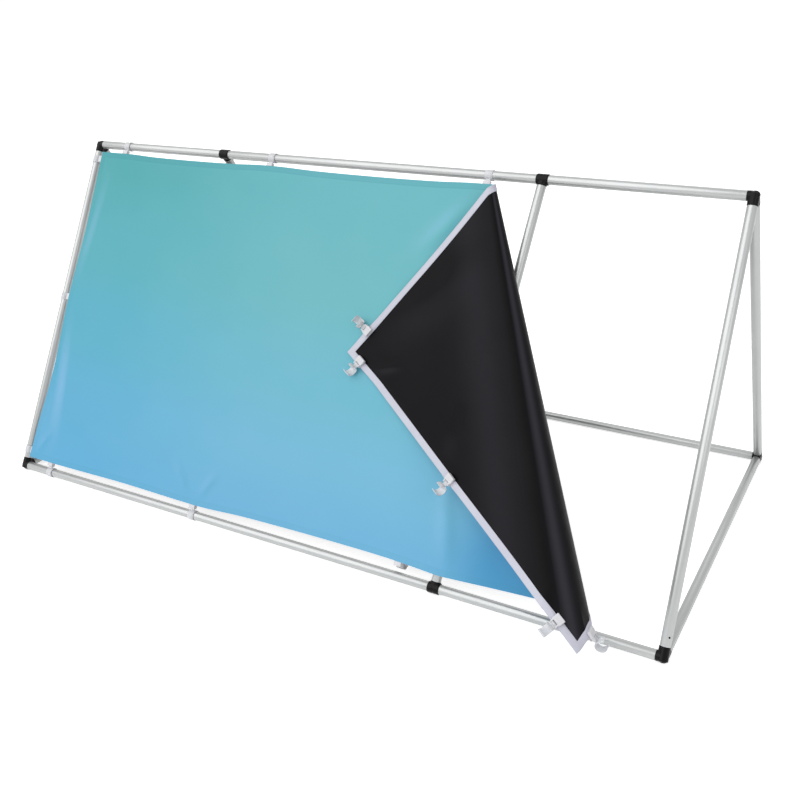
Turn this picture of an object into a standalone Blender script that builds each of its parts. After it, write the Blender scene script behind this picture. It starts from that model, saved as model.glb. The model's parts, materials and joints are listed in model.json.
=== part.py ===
"""Triangular banner stand: round metal tubes plugged into plastic fittings, with one banner clipped to
its front face. The right-hand end of the banner is unclipped and folded over the front, back side out.

Units are metres, +Z is up, and the banner faces -Y. The origin is on the floor, under the middle of
the whole stand. Cloth places are given as s, along the banner from its left edge, and t, down from
its top edge.
"""
import math

import bmesh
import bpy
from mathutils import Matrix, Vector

# Banner, and the gaps from its hems to the axes of the tubes beside them
BANNER_WIDTH = 2.000
BANNER_HEIGHT = 1.000
BANNER_LEFT_GAP = 0.023
BANNER_RIGHT_GAP = 0.021
BANNER_TOP_GAP = 0.028
BANNER_BOTTOM_GAP = 0.030
CLOTH_THICKNESS = 0.0015
CLOTH_STANDOFF = 0.017

# Frame, between tube axes
FRAME_WIDTH = BANNER_WIDTH + BANNER_LEFT_GAP + BANNER_RIGHT_GAP
FRAME_DEPTH = 1.038
FACE_SLANT = BANNER_HEIGHT + BANNER_TOP_GAP + BANNER_BOTTOM_GAP
TUBE_RADIUS = 0.0125
TUBE_WALL = 0.0015
TUBE_SIDES = 20

# Fittings
COLLAR_RADIUS = 0.0148
COLLAR_REACH = 0.0152
STRUT_COLLAR_RADIUS = 0.0138
STRUT_COLLAR_REACH = 0.0236
TEE_HALF_LENGTH = 0.0158
TEE_COLLAR_REACH = 0.0166
CORE_RADIUS = 0.0156
PEG_RADIUS = 0.0106
PEG_REACH = 0.060
FITTING_SIDES = 18
PEG_SIDES = 10
SEAT_GAP = 0.0003
FOOT_CUT = 0.0003
MOULD_TURN = 0.05
TEE_TOP_PLACE = 0.7490 * FRAME_WIDTH
TEE_FOOT_PLACE = 0.7192 * FRAME_WIDTH

# Fold: the line where the cloth starts to roll over, and the roll, which is part of a cone. Its
# radius is a share of the cloth beyond the fold line, at the top hem and at the bottom one
FOLD_TOP = 0.6885 * BANNER_WIDTH
FOLD_FOOT = 0.8955 * BANNER_WIDTH
ROLL_RADIUS_TOP = 0.023114 * (BANNER_WIDTH - FOLD_TOP)
ROLL_RADIUS_FOOT = 0.364593 * (BANNER_WIDTH - FOLD_FOOT)
FLAP_DROP_ANGLE = math.radians(13.6)
FLAP_REST_GAP = 0.005
FLAP_KNEE = 0.014
FLAP_SAG_SLOPE = 0.2025
FLAP_BELLY = 0.25
FLAP_BELLY_MIDDLE = 0.660
FLAP_BELLY_HALF = 0.300
FOLD_START_ANGLE = math.radians(45.0)
FOLD_END_ANGLE = math.radians(112.5)
MAIN_CREASES = (0.0, math.radians(22.5))
FOLD_CREASES = (math.radians(67.5), math.radians(90.0))
FLAP_CREASES = (math.radians(131.5), math.radians(150.5), math.radians(181.0),
                math.pi + FLAP_DROP_ANGLE)
FLAP_BANDS = (4.4, 5.6, 7.0, 8.5, 10.0, 12.0, 14.5, 17.0, 20.5)
FLAP_ROW_SHARES = (0.08, 0.16, 0.24, 0.32, 0.4, 0.47, 0.55, 0.63, 0.71, 0.78, 0.85)
PIECE_GAP = 0.0002

# Hang of the hems, as pairs of a share of the hem's length and how far the hem is drawn in there.
# The bottom hem rises between its clips and most of all beside the fold, and dips at the front tee.
# The left one is drawn in at its upper two clips. The top one sags between its clips
BOTTOM_HEM_RISE = (
    (0.057, 0.0), (0.20, 0.003), (0.326, 0.0), (0.343, 0.0), (0.42, 0.0075), (0.515, 0.0115),
    (0.605, 0.0125), (0.65, 0.0117), (0.673, 0.0103), (0.705, 0.0066), (0.7275, 0.0042),
    (0.75, 0.0060), (0.7715, 0.0085), (0.80, 0.0120), (0.86, 0.0180), (0.90, 0.0195),
    (0.9628, 0.0180), (0.9804, 0.0115), (1.0, 0.003))
LEFT_HEM_DRAW = ((0.0, 0.0085), (0.20, 0.0085), (0.46, 0.007), (0.523, 0.007), (0.66, 0.005),
                 (0.80, 0.0), (0.88, -0.002), (0.95, 0.0))
TOP_HEM_SAG = ((0.057, 0.0), (0.12, 0.004), (0.20, 0.005), (0.27, 0.0035), (0.326, 0.0),
               (0.343, 0.0), (0.42, 0.0045), (0.515, 0.006), (0.605, 0.0045), (0.673, 0.0))
HEM_FADE = 0.200

# Hem tape, sewn along its inner edge, with a pocket for the clips under its free edge
TAPE_WIDTH = 0.0175
TAPE_POCKET = 0.0152
TAPE_THICKNESS = 0.001
POCKET_DEPTH = 0.0024
TAPE_SEAT_GAP = 0.0004
TAPE_HINGE_GAP = 0.0045

# Clip, in its own frame: X along the hem, Y from the tube to the cloth, Z out of the banner's front
RING_BORE_RADIUS = 0.0130
RING_WALL = 0.0014
RING_WIDTH = 0.021
RING_SEGMENTS = 12
RING_MOUTH_HALF_ANGLE = math.radians(42.0)
NECK_WIDTH = 0.012
NECK_THICKNESS = 0.004
PIVOT_Y = 0.0215
PIVOT_Z = 0.0075
KNUCKLE_RADIUS = 0.0032
TRUNNION_RADIUS = 0.0012
TRUNNION_HOLE_RADIUS = 0.0016
JAW_WIDTH = 0.0245
JAW_START = 0.0262
JAW_END = 0.0440
JAW_BACK = 0.0035
JAW_BEVEL = 0.0022
TONGUE_WIDTH = 0.020
TONGUE_START = 0.0183
TONGUE_WALL = 0.0022
PLATE_END = 0.0355
PLATE_THICKNESS = 0.001
LOOSE_RING_TURN = math.radians(78.0)

# Clip places, as shares of the hem's length. The clips where the cloth curves lie flat on one facet
# of it, between two creases that are given, as everywhere, by their distance from the fold line in
# roll radii
TOP_CLIP_SHARES = (0.0485, 0.3345, 0.6810)
LEFT_CLIP_SHARES = (0.023, 0.478, 0.979)
BOTTOM_CLIP_SHARES = (0.0455, 0.3330)
LOOSE_CLIP_SHARE = 0.6720
FLAP_TOP_CLIP_SHARE = 0.9590
FLAP_TOP_CLIP_FACET = FLAP_BANDS[-2:]
FLAP_SIDE_CLIP_SHARES = (0.052, 0.4827)
FOLD_CLIP_FACET = (FOLD_CREASES[1], FOLD_END_ANGLE)
FLAP_LOW_CLIP_FACET = FLAP_CREASES[1:3]

TUBE_AXIS_HEIGHT = COLLAR_RADIUS - FOOT_CUT
FACE_RISE = math.sqrt(FACE_SLANT ** 2 - (FRAME_DEPTH / 2) ** 2)
RIGHT = Vector((1.0, 0.0, 0.0))
DOWN_FACE = Vector((0.0, -FRAME_DEPTH / 2, -FACE_RISE)) / FACE_SLANT
FACE_OUT = DOWN_FACE.cross(RIGHT).normalized()
ROLL_CREASES = MAIN_CREASES + (FOLD_START_ANGLE,) + FOLD_CREASES + (FOLD_END_ANGLE,) + FLAP_CREASES
APEX_LEFT = Vector((-FRAME_WIDTH / 2, 0.0, TUBE_AXIS_HEIGHT + FACE_RISE))
FOLD_LENGTH = math.hypot(FOLD_FOOT - FOLD_TOP, BANNER_HEIGHT)
FOLD_ALONG = ((FOLD_FOOT - FOLD_TOP) / FOLD_LENGTH, BANNER_HEIGHT / FOLD_LENGTH)
ROLL_TAPER = (ROLL_RADIUS_FOOT - ROLL_RADIUS_TOP) / FOLD_LENGTH


def clear_scene():
    for item in list(bpy.data.objects):
        bpy.data.objects.remove(item, do_unlink=True)


def new_collection(name):
    collection = bpy.data.collections.new(name)
    bpy.context.scene.collection.children.link(collection)
    return collection


def new_material(name, color, roughness, metallic=0.0, alpha=1.0):
    material = bpy.data.materials.new(name)
    material.use_nodes = True
    shader = material.node_tree.nodes["Principled BSDF"]
    shader.inputs["Base Color"].default_value = (*color, 1.0)
    shader.inputs["Roughness"].default_value = roughness
    shader.inputs["Metallic"].default_value = metallic
    shader.inputs["Alpha"].default_value = alpha
    return material


def add_object(name, mesh, collection, material=None, matrix=None):
    item = bpy.data.objects.new(name, mesh)
    collection.objects.link(item)
    if material is not None:
        mesh.materials.clear()
        mesh.materials.append(material)
    if matrix is not None:
        item.matrix_world = matrix
    return item


def mesh_from(name, shape):
    mesh = bpy.data.meshes.new(name)
    shape.to_mesh(mesh)
    shape.free()
    return mesh


def axis_matrix(start, end):
    """Frame whose +Z runs from start to end, placed at start."""
    along = (end - start).normalized()
    return Matrix.Translation(start) @ along.to_track_quat("Z", "Y").to_matrix().to_4x4()


def rod_mesh(name, radius, length, sides, start=0.0):
    """Round bar along +Z from start."""
    shape = bmesh.new()
    place = Matrix.Translation((0.0, 0.0, start + length / 2))
    bmesh.ops.create_cone(shape, cap_ends=True, segments=sides, radius1=radius, radius2=radius,
                          depth=length, matrix=place)
    return mesh_from(name, shape)


def box_mesh(name, low, high, bevel=0.0):
    shape = bmesh.new()
    size = Vector(high) - Vector(low)
    middle = (Vector(high) + Vector(low)) / 2
    place = Matrix.Translation(middle) @ Matrix.Diagonal((*size, 1.0))
    bmesh.ops.create_cube(shape, size=1.0, matrix=place)
    if bevel > 0.0:
        bmesh.ops.bevel(shape, geom=list(shape.edges), offset=bevel, segments=1, affect="EDGES")
    return mesh_from(name, shape)


def evaluated_mesh(item):
    graph = bpy.context.evaluated_depsgraph_get()
    graph.update()
    return bpy.data.meshes.new_from_object(item.evaluated_get(graph))


def cut_or_join(item, tools, operation):
    """Boolean modifiers of item with each tool, applied, and the tools deleted."""
    for tool in tools:
        modifier = item.modifiers.new(operation.title(), "BOOLEAN")
        modifier.operation = operation
        modifier.object = tool
        modifier.solver = "EXACT"
    mesh = evaluated_mesh(item)
    item.modifiers.clear()
    old = item.data
    item.data = mesh
    bpy.data.meshes.remove(old)
    for tool in tools:
        bpy.data.objects.remove(tool, do_unlink=True)


def smooth(item, angle=40.0):
    item.data.shade_smooth()
    item.data.set_sharp_from_angle(angle=math.radians(angle))


def face_point(along, down, out=0.0, back=False):
    """Point on the front face, or the back one, from the top left corner, seen from the front."""
    slope = DOWN_FACE.copy()
    outward = FACE_OUT.copy()
    if back:
        slope.y = -slope.y
        outward.y = -outward.y
    return APEX_LEFT + RIGHT * along + slope * down + outward * out


# Frame

def frame_joints():
    """Places of the fittings, by name."""
    joints = {}
    for side, along in (("left", 0.0), ("right", FRAME_WIDTH)):
        joints["apex_corner_" + side] = face_point(along, 0.0)
        joints["front_corner_" + side] = face_point(along, FACE_SLANT)
        joints["back_corner_" + side] = face_point(along, FACE_SLANT, back=True)
    joints["top_front_tee"] = face_point(TEE_TOP_PLACE, 0.0)
    joints["front_rail_tee"] = face_point(TEE_FOOT_PLACE, FACE_SLANT)
    joints["top_back_tee"] = face_point(FRAME_WIDTH - TEE_TOP_PLACE, 0.0)
    joints["back_rail_tee"] = face_point(FRAME_WIDTH - TEE_FOOT_PLACE, FACE_SLANT, back=True)
    return joints


TUBES = {
    "top_rail_left": ("apex_corner_left", "top_back_tee"),
    "top_rail_middle": ("top_back_tee", "top_front_tee"),
    "top_rail_right": ("top_front_tee", "apex_corner_right"),
    "front_rail_left": ("front_corner_left", "front_rail_tee"),
    "front_rail_right": ("front_rail_tee", "front_corner_right"),
    "back_rail_left": ("back_corner_left", "back_rail_tee"),
    "back_rail_right": ("back_rail_tee", "back_corner_right"),
    "front_strut_left": ("apex_corner_left", "front_corner_left"),
    "front_strut_right": ("apex_corner_right", "front_corner_right"),
    "back_strut_left": ("apex_corner_left", "back_corner_left"),
    "back_strut_right": ("apex_corner_right", "back_corner_right"),
    "base_tube_left": ("front_corner_left", "back_corner_left"),
    "base_tube_right": ("front_corner_right", "back_corner_right"),
    "front_middle_strut": ("top_front_tee", "front_rail_tee"),
    "back_middle_strut": ("top_back_tee", "back_rail_tee"),
}


def collar_reach(fitting, tube):
    """How far the fitting's collar reaches from its centre, towards the tube."""
    if "rail" in tube:
        return TEE_HALF_LENGTH if "tee" in fitting else COLLAR_REACH
    return TEE_COLLAR_REACH if "tee" in fitting else STRUT_COLLAR_REACH


def add_tube(name, start, end, collection, material):
    """Hollow round tube from start to end."""
    length = (end - start).length
    shape = bmesh.new()
    middle = Matrix.Translation((0.0, 0.0, length / 2))
    bmesh.ops.create_cone(shape, cap_ends=False, segments=TUBE_SIDES, radius1=TUBE_RADIUS,
                          radius2=TUBE_RADIUS, depth=length, matrix=middle)
    item = add_object(name, mesh_from(name, shape), collection, material, axis_matrix(start, end))
    wall = item.modifiers.new("Wall", "SOLIDIFY")
    wall.thickness = TUBE_WALL
    wall.offset = -1.0
    wall.use_even_offset = True
    smooth(item)
    return item


def add_fitting(name, joints, collection, cutters, material):
    """Round core with one collar and one peg for each tube that meets there."""
    centre = joints[name]
    shape = bmesh.new()
    bmesh.ops.create_uvsphere(shape, u_segments=14, v_segments=8, radius=CORE_RADIUS)
    place = Matrix.Translation(centre) @ Matrix.Rotation(MOULD_TURN, 4, "Z")
    item = add_object(name, mesh_from(name, shape), collection, material, place)
    tools = []
    for tube, ends in TUBES.items():
        if name not in ends:
            continue
        other = ends[1] if ends[0] == name else ends[0]
        turn = Matrix.Rotation(0.65 * MOULD_TURN * (len(tools) + 2), 4, "Z")
        frame = axis_matrix(centre, joints[other]) @ turn
        reach = collar_reach(name, tube)
        radius = COLLAR_RADIUS if "rail" in tube else STRUT_COLLAR_RADIUS
        collar = rod_mesh("collar", radius, reach, FITTING_SIDES)
        peg = rod_mesh("peg", PEG_RADIUS, PEG_REACH, PEG_SIDES)
        tools.append(add_object(f"{name}_{tube}_collar", collar, cutters, None, frame))
        tools.append(add_object(f"{name}_{tube}_peg", peg, cutters, None, frame))
    cut_or_join(item, tools, "UNION")
    if centre.z < FACE_RISE / 2:
        size = 2 * STRUT_COLLAR_REACH
        below = box_mesh("floor_cut", (-size, -size, -size), (size, size, -TUBE_AXIS_HEIGHT))
        cutter = add_object(name + "_floor_cut", below, cutters, None, Matrix.Translation(centre))
        cut_or_join(item, [cutter], "DIFFERENCE")
    smooth(item)
    return item


# Cloth

def roll_radius(along):
    return ROLL_RADIUS_TOP + ROLL_TAPER * along


def fold_coordinates(s, t):
    """Distance along the fold line from its top, and across it to the right."""
    along = (s - FOLD_TOP) * FOLD_ALONG[0] + t * FOLD_ALONG[1]
    across = (s - FOLD_TOP) * FOLD_ALONG[1] - t * FOLD_ALONG[0]
    return along, across


def soft_floor(height):
    """The height, eased so that it never falls below the flap's rest gap."""
    x = (height - FLAP_REST_GAP) / FLAP_KNEE
    return FLAP_REST_GAP + FLAP_KNEE * (max(x, 0.0) + math.log1p(math.exp(-abs(x))))


def roll_profile(turn):
    """Reach and lift of the creased roll at a turn of it, in roll radii."""
    pairs = zip(ROLL_CREASES, ROLL_CREASES[1:])
    low, high = next((pair for pair in pairs if turn <= pair[1]), ROLL_CREASES[-2:])
    share = min((turn - low) / (high - low), 1.0)
    reach = (1.0 - share) * math.sin(low) + share * math.sin(high)
    lift = 1.0 - (1.0 - share) * math.cos(low) - share * math.cos(high)
    return reach, lift


def drawn_in(table, share):
    """How far the hem is drawn in at a share of its length, in straight steps between the pairs."""
    pairs = zip(table, table[1:])
    if share <= table[0][0]:
        return table[0][1]
    for (low, start), (high, end) in pairs:
        if share <= high:
            return start + (end - start) * (share - low) / (high - low)
    return table[-1][1]


def hem_fade(inward):
    """1 at the hem, and 0 from a hand's breadth or so inward."""
    x = min(max(1.0 - inward / HEM_FADE, 0.0), 1.0)
    return x * x * (3.0 - 2.0 * x)


def cloth_place(s, t):
    """Where the cloth point s, t lies, as distances along, down and out of the front face."""
    rise = drawn_in(BOTTOM_HEM_RISE, s / BANNER_WIDTH) * hem_fade(BANNER_HEIGHT - t)
    draw = drawn_in(LEFT_HEM_DRAW, t / BANNER_HEIGHT) * hem_fade(s)
    sag = drawn_in(TOP_HEM_SAG, s / BANNER_WIDTH) * hem_fade(t)
    along, across = fold_coordinates(s + draw, t + sag)
    turns = across / roll_radius(along)
    along -= rise
    radius = roll_radius(along)
    if across > 0.0:
        across = turns * radius
    lift = 0.0
    reach = across
    if across > 0.0:
        reach, lift = [radius * share for share in roll_profile(across / radius)]
        free = across - radius * ROLL_CREASES[-1]
        if free > 0.0:
            top = lift
            reach -= free * math.cos(FLAP_DROP_ANGLE)
            lift = top + soft_floor(top - free * math.sin(FLAP_DROP_ANGLE)) - soft_floor(top)
            belly = 1.0 - ((along - FLAP_BELLY_MIDDLE) / FLAP_BELLY_HALF) ** 2
            along += FLAP_SAG_SLOPE * free * (1.0 + FLAP_BELLY * max(belly, 0.0))
    place_s = FOLD_TOP + along * FOLD_ALONG[0] + reach * FOLD_ALONG[1]
    place_t = along * FOLD_ALONG[1] - reach * FOLD_ALONG[0]
    return BANNER_LEFT_GAP + place_s, BANNER_TOP_GAP + place_t, CLOTH_STANDOFF + lift


def cloth_point(s, t):
    return face_point(*cloth_place(s, t))


def cloth_normal(s, t):
    """Unit normal of the banner's front side."""
    step = 0.0005
    to_s = cloth_point(s + step, t) - cloth_point(s - step, t)
    to_t = cloth_point(s, t + step) - cloth_point(s, t - step)
    return to_t.cross(to_s).normalized()


def crease_slopes(turns):
    """Slopes across s and t of the cone's ruling, for across = turns times the radius."""
    across_s = FOLD_ALONG[1] - turns * ROLL_TAPER * FOLD_ALONG[0]
    across_t = FOLD_ALONG[0] + turns * ROLL_TAPER * FOLD_ALONG[1]
    return across_s, across_t


def crease_s(turns, t):
    """s where the ruling crosses the row t."""
    across_s, across_t = crease_slopes(turns)
    return FOLD_TOP + (turns * ROLL_RADIUS_TOP + t * across_t) / across_s


def crease_t(turns, s):
    """t where the ruling crosses the column s."""
    across_s, across_t = crease_slopes(turns)
    return ((s - FOLD_TOP) * across_s - turns * ROLL_RADIUS_TOP) / across_t


def crease_plane(turns, shift=0.0):
    """Upright plane through a ruling of the flat cloth, moved by a distance to the right."""
    across_s, across_t = crease_slopes(turns)
    normal = Vector((across_s, -across_t, 0.0)).normalized()
    return Vector((crease_s(turns, 0.0), 0.0, 0.0)) + normal * shift, normal


def keep_band(shape, low, high, inset):
    """Cuts a flat shape off at the rulings low and high, and closes it there."""
    cuts = []
    if low is not None:
        cuts.append((*crease_plane(low, inset), False))
    if high is not None:
        cuts.append((*crease_plane(high, -inset), True))
    for point, normal, keep_left in cuts:
        parts = list(shape.verts) + list(shape.edges) + list(shape.faces)
        result = bmesh.ops.bisect_plane(shape, geom=parts, plane_co=point, plane_no=normal, dist=1e-6,
                                        clear_outer=keep_left, clear_inner=not keep_left)
        rim = [part for part in result["geom_cut"] if isinstance(part, bmesh.types.BMEdge)]
        bmesh.ops.holes_fill(shape, edges=rim, sides=0)


def crease_at(shape, planes):
    for point, normal in planes:
        parts = list(shape.verts) + list(shape.edges) + list(shape.faces)
        bmesh.ops.bisect_plane(shape, geom=parts, plane_co=point, plane_no=normal, dist=1e-6)


def bend(shape):
    """Moves each flat vertex, at s, t and its distance in front of the cloth, to its real place."""
    for vert in shape.verts:
        s, t, front = vert.co
        vert.co = cloth_point(s, t) + cloth_normal(s, t) * front
    bmesh.ops.triangulate(shape, faces=[face for face in shape.faces if len(face.verts) > 3])
    bmesh.ops.recalc_face_normals(shape, faces=shape.faces)


def piece_planes(creases, bands, rows):
    """Planes at which a piece of the cloth and its tapes are creased alike."""
    planes = [crease_plane(turns) for turns in creases + bands]
    planes += [(Vector((0.0, row, 0.0)), Vector((0.0, 1.0, 0.0))) for row in rows]
    return planes


def column_planes(shares):
    """Upright planes across the banner at these shares of its width."""
    normal = Vector((1.0, 0.0, 0.0))
    return [(Vector((share * BANNER_WIDTH, 0.0, 0.0)), normal) for share in shares]


def cloth_pieces():
    """Bounding creases and inner crease planes of the three pieces that move as one each."""
    rows = [share * BANNER_HEIGHT for share in FLAP_ROW_SHARES]
    side_rows = [share * BANNER_HEIGHT for share, draw in LEFT_HEM_DRAW[1:]]
    columns = {share for share, draw in BOTTOM_HEM_RISE + TOP_HEM_SAG if share * BANNER_WIDTH < FOLD_FOOT}
    main_planes = piece_planes(MAIN_CREASES, (), side_rows) + column_planes(sorted(columns))
    return {
        "main": (None, FOLD_START_ANGLE, main_planes),
        "fold": (FOLD_START_ANGLE, FOLD_END_ANGLE, piece_planes(FOLD_CREASES, (), ())),
        "flap": (FOLD_END_ANGLE, None, piece_planes(FLAP_CREASES, FLAP_BANDS, rows)),
    }


def add_cloth(name, piece, collection, material):
    low, high, planes = piece
    size = (BANNER_WIDTH, BANNER_HEIGHT, CLOTH_THICKNESS)
    middle = Vector((BANNER_WIDTH / 2, BANNER_HEIGHT / 2, 0.0))
    shape = bmesh.new()
    bmesh.ops.create_cube(shape, size=1.0, matrix=Matrix.Translation(middle) @ Matrix.Diagonal((*size, 1.0)))
    keep_band(shape, low, high, PIECE_GAP)
    crease_at(shape, planes)
    if high is None:
        for inward in (TAPE_POCKET, TAPE_WIDTH):
            crease_at(shape, [(Vector((BANNER_WIDTH - inward, 0.0, 0.0)), Vector((1.0, 0.0, 0.0)))])
            crease_at(shape, [(Vector((0.0, inward, 0.0)), Vector((0.0, 1.0, 0.0)))])
    bend(shape)
    item = add_object(name, mesh_from(name, shape), collection, material)
    smooth(item, 50.0)
    return item


def tape_section():
    """Outline of the tape's section: distance from the hem's edge, depth behind the cloth's middle."""
    skin = CLOTH_THICKNESS / 2
    pocket = skin + POCKET_DEPTH
    back = pocket + TAPE_THICKNESS
    seat = skin + TAPE_SEAT_GAP
    return ((0.0, pocket), (0.0, back), (TAPE_WIDTH, back), (TAPE_WIDTH, seat),
            (TAPE_POCKET, seat), (TAPE_POCKET, pocket))


def hem_place(edge, along, inward):
    """s and t of a place on a hem, from the distances along it and inward from its edge."""
    if edge == "top":
        return along, inward
    if edge == "bottom":
        return along, BANNER_HEIGHT - inward
    if edge == "left":
        return inward, along
    return BANNER_WIDTH - inward, along


def hem_runs():
    """Each tape's route round the flat banner, as places that depend on the distance from the edge."""
    width = BANNER_WIDTH
    height = BANNER_HEIGHT
    bottom_left = (lambda inward: (width, height - inward), lambda inward: (inward, height - inward))
    top_left = (lambda inward: (inward, inward), lambda inward: (width, inward))
    top = (lambda inward: (0.0, inward), lambda inward: (width, inward))
    bottom = (lambda inward: (0.0, height - inward), lambda inward: (width, height - inward))
    right = (lambda inward: (width - inward, inward), lambda inward: (width - inward, height))
    return {
        "hem_tape_main": ("main", bottom_left + top_left),
        "hem_tape_fold_top": ("fold", top),
        "hem_tape_fold_bottom": ("fold", bottom),
        "hem_tape_flap": ("flap", top[:1] + right),
    }


def add_tape(name, piece, route, collection, material):
    """Hem tape along its route on one piece of the cloth, with mitred corners."""
    low, high, planes = piece
    shape = bmesh.new()
    rings = []
    for place in route:
        rings.append([shape.verts.new((*place(inward), -depth)) for inward, depth in tape_section()])
    for near, far in zip(rings, rings[1:]):
        for index in range(len(near)):
            following = (index + 1) % len(near)
            shape.faces.new((near[index], near[following], far[following], far[index]))
    shape.faces.new(rings[0])
    shape.faces.new(list(reversed(rings[-1])))
    bmesh.ops.recalc_face_normals(shape, faces=shape.faces)
    keep_band(shape, low, high, TAPE_HINGE_GAP)
    crease_at(shape, planes)
    bend(shape)
    item = add_object(name, mesh_from(name, shape), collection, material)
    smooth(item, 50.0)
    return item


# Clips

def ring_mesh(cutters):
    """Open ring with its neck, its pivot knuckle and the trunnions on both sides of that."""
    shape = bmesh.new()
    sweep = 2 * math.pi - 2 * RING_MOUTH_HALF_ANGLE
    bmesh.ops.create_grid(shape, x_segments=1, y_segments=RING_SEGMENTS, size=1.0)
    for vert in shape.verts:
        share = (vert.co.y + 1.0) / 2.0
        angle = -math.pi / 2 + RING_MOUTH_HALF_ANGLE + sweep * share
        side = vert.co.x * RING_WIDTH / 2
        vert.co = (side, RING_BORE_RADIUS * math.cos(angle), RING_BORE_RADIUS * math.sin(angle))
    for face in shape.faces:
        face.normal_update()
        middle = face.calc_center_median()
        if face.normal.dot(Vector((0.0, middle.y, middle.z))) < 0.0:
            face.normal_flip()
    ring = add_object("ring_master", mesh_from("ring_master", shape), cutters)
    wall = ring.modifiers.new("Wall", "SOLIDIFY")
    wall.thickness = RING_WALL
    wall.offset = 1.0
    wall.use_even_offset = True
    half = NECK_WIDTH / 2
    under = PIVOT_Z - NECK_THICKNESS / 2
    start = math.sqrt(RING_BORE_RADIUS ** 2 - under ** 2) + SEAT_GAP
    neck = box_mesh("neck", (-half, start, under), (half, PIVOT_Y, under + NECK_THICKNESS))
    knuckle = rod_mesh("knuckle", KNUCKLE_RADIUS, NECK_WIDTH, 10, -half)
    side = TONGUE_WIDTH / 2 - SEAT_GAP
    trunnions = rod_mesh("trunnions", TRUNNION_RADIUS, 2 * side, 8, -side)
    tools = [add_object("neck_tool", neck, cutters)]
    tools.append(add_object("knuckle_tool", knuckle, cutters, None, pivot_matrix()))
    tools.append(add_object("trunnion_tool", trunnions, cutters, None, pivot_matrix()))
    cut_or_join(ring, tools, "UNION")
    mesh = ring.data.copy()
    bpy.data.objects.remove(ring, do_unlink=True)
    return mesh


def pivot_matrix():
    """Frame on the pivot's axis, its +Z along the clip's X."""
    return Matrix.Translation((0.0, PIVOT_Y, PIVOT_Z)) @ Matrix.Rotation(math.pi / 2, 4, "Y")


def jaw_mesh(cutters):
    """Jaw behind the tape, its forked tongue for the ring's knuckle, and the plate in the tape's pocket."""
    pocket_middle = CLOTH_STANDOFF - CLOTH_THICKNESS / 2 - POCKET_DEPTH / 2
    tape_back = CLOTH_STANDOFF - CLOTH_THICKNESS / 2 - POCKET_DEPTH - TAPE_THICKNESS
    top = tape_back - SEAT_GAP
    half = JAW_WIDTH / 2
    block = box_mesh("jaw", (-half, JAW_START, JAW_BACK), (half, JAW_END, top), JAW_BEVEL)
    jaw = add_object("jaw_master", block, cutters)
    side = TONGUE_WIDTH / 2
    inside = NECK_WIDTH / 2 + SEAT_GAP
    plate_low = pocket_middle - PLATE_THICKNESS / 2
    plate_high = pocket_middle + PLATE_THICKNESS / 2
    joins = []
    for sign in (-1.0, 1.0):
        low_x = min(sign * inside, sign * side)
        high_x = max(sign * inside, sign * side)
        tongue_back = JAW_BACK + SEAT_GAP
        prong = box_mesh("prong", (low_x, TONGUE_START, tongue_back), (high_x, JAW_START + 0.003, top - SEAT_GAP))
        post = box_mesh("post", (low_x + SEAT_GAP, TONGUE_START + 0.0001, top - 0.002),
                        (high_x - SEAT_GAP, TONGUE_START + TONGUE_WALL, plate_low + PLATE_THICKNESS / 2))
        joins.append(add_object(f"prong_tool_{sign}", prong, cutters))
        joins.append(add_object(f"post_tool_{sign}", post, cutters))
    plate = box_mesh("plate", (-side, TONGUE_START - 0.0001, plate_low), (side, PLATE_END, plate_high))
    joins.append(add_object("plate_tool", plate, cutters))
    cut_or_join(jaw, joins, "UNION")
    hole = rod_mesh("hole", TRUNNION_HOLE_RADIUS, 2 * TONGUE_WIDTH, 8, -TONGUE_WIDTH)
    cut_or_join(jaw, [add_object("pin_tool", hole, cutters, None, pivot_matrix())], "DIFFERENCE")
    mesh = jaw.data.copy()
    bpy.data.objects.remove(jaw, do_unlink=True)
    return mesh


def hem_gap(edge, place):
    """Distance from a place on the hem's edge to the axis of the tube beside it."""
    if edge == "top":
        return BANNER_TOP_GAP
    if edge == "bottom":
        return BANNER_BOTTOM_GAP
    if edge == "left":
        return BANNER_LEFT_GAP + drawn_in(LEFT_HEM_DRAW, place / BANNER_HEIGHT)
    return BANNER_RIGHT_GAP


def clip_frame(edge, place=None, facet=None):
    """Frame of a clip on a hem, at its ring's centre, at the place or in the middle of the facet."""
    if facet is None:
        first, second = place - JAW_WIDTH / 2, place + JAW_WIDTH / 2
        inner = hem_place(edge, place, TAPE_WIDTH)
    elif edge == "right":
        second, first = [crease_t(turns, BANNER_WIDTH) for turns in facet]
        inner = (BANNER_WIDTH - TAPE_WIDTH, crease_t(facet[0], BANNER_WIDTH - TAPE_WIDTH))
    else:
        row = 0.0 if edge == "top" else BANNER_HEIGHT
        inner_row = hem_place(edge, 0.0, TAPE_WIDTH)[1]
        first, second = [crease_s(turns, row) for turns in facet]
        inner = (crease_s(facet[0], inner_row), inner_row)
    start = cloth_point(*hem_place(edge, first, 0.0))
    end = cloth_point(*hem_place(edge, second, 0.0))
    share = 0.5 if place is None else (place - first) / (second - first)
    middle = start.lerp(end, share)
    along = (end - start).normalized()
    into = cloth_point(*inner) - middle
    inward = (into - along * into.dot(along)).normalized()
    normal = along.cross(inward)
    if normal.dot(cloth_normal(*hem_place(edge, (first + second) / 2, TAPE_WIDTH / 2))) < 0.0:
        normal.negate()
    centre = middle - inward * hem_gap(edge, place) - normal * CLOTH_STANDOFF
    turn = Matrix((inward.cross(normal), inward, normal)).transposed().to_4x4()
    return Matrix.Translation(centre) @ turn


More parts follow.
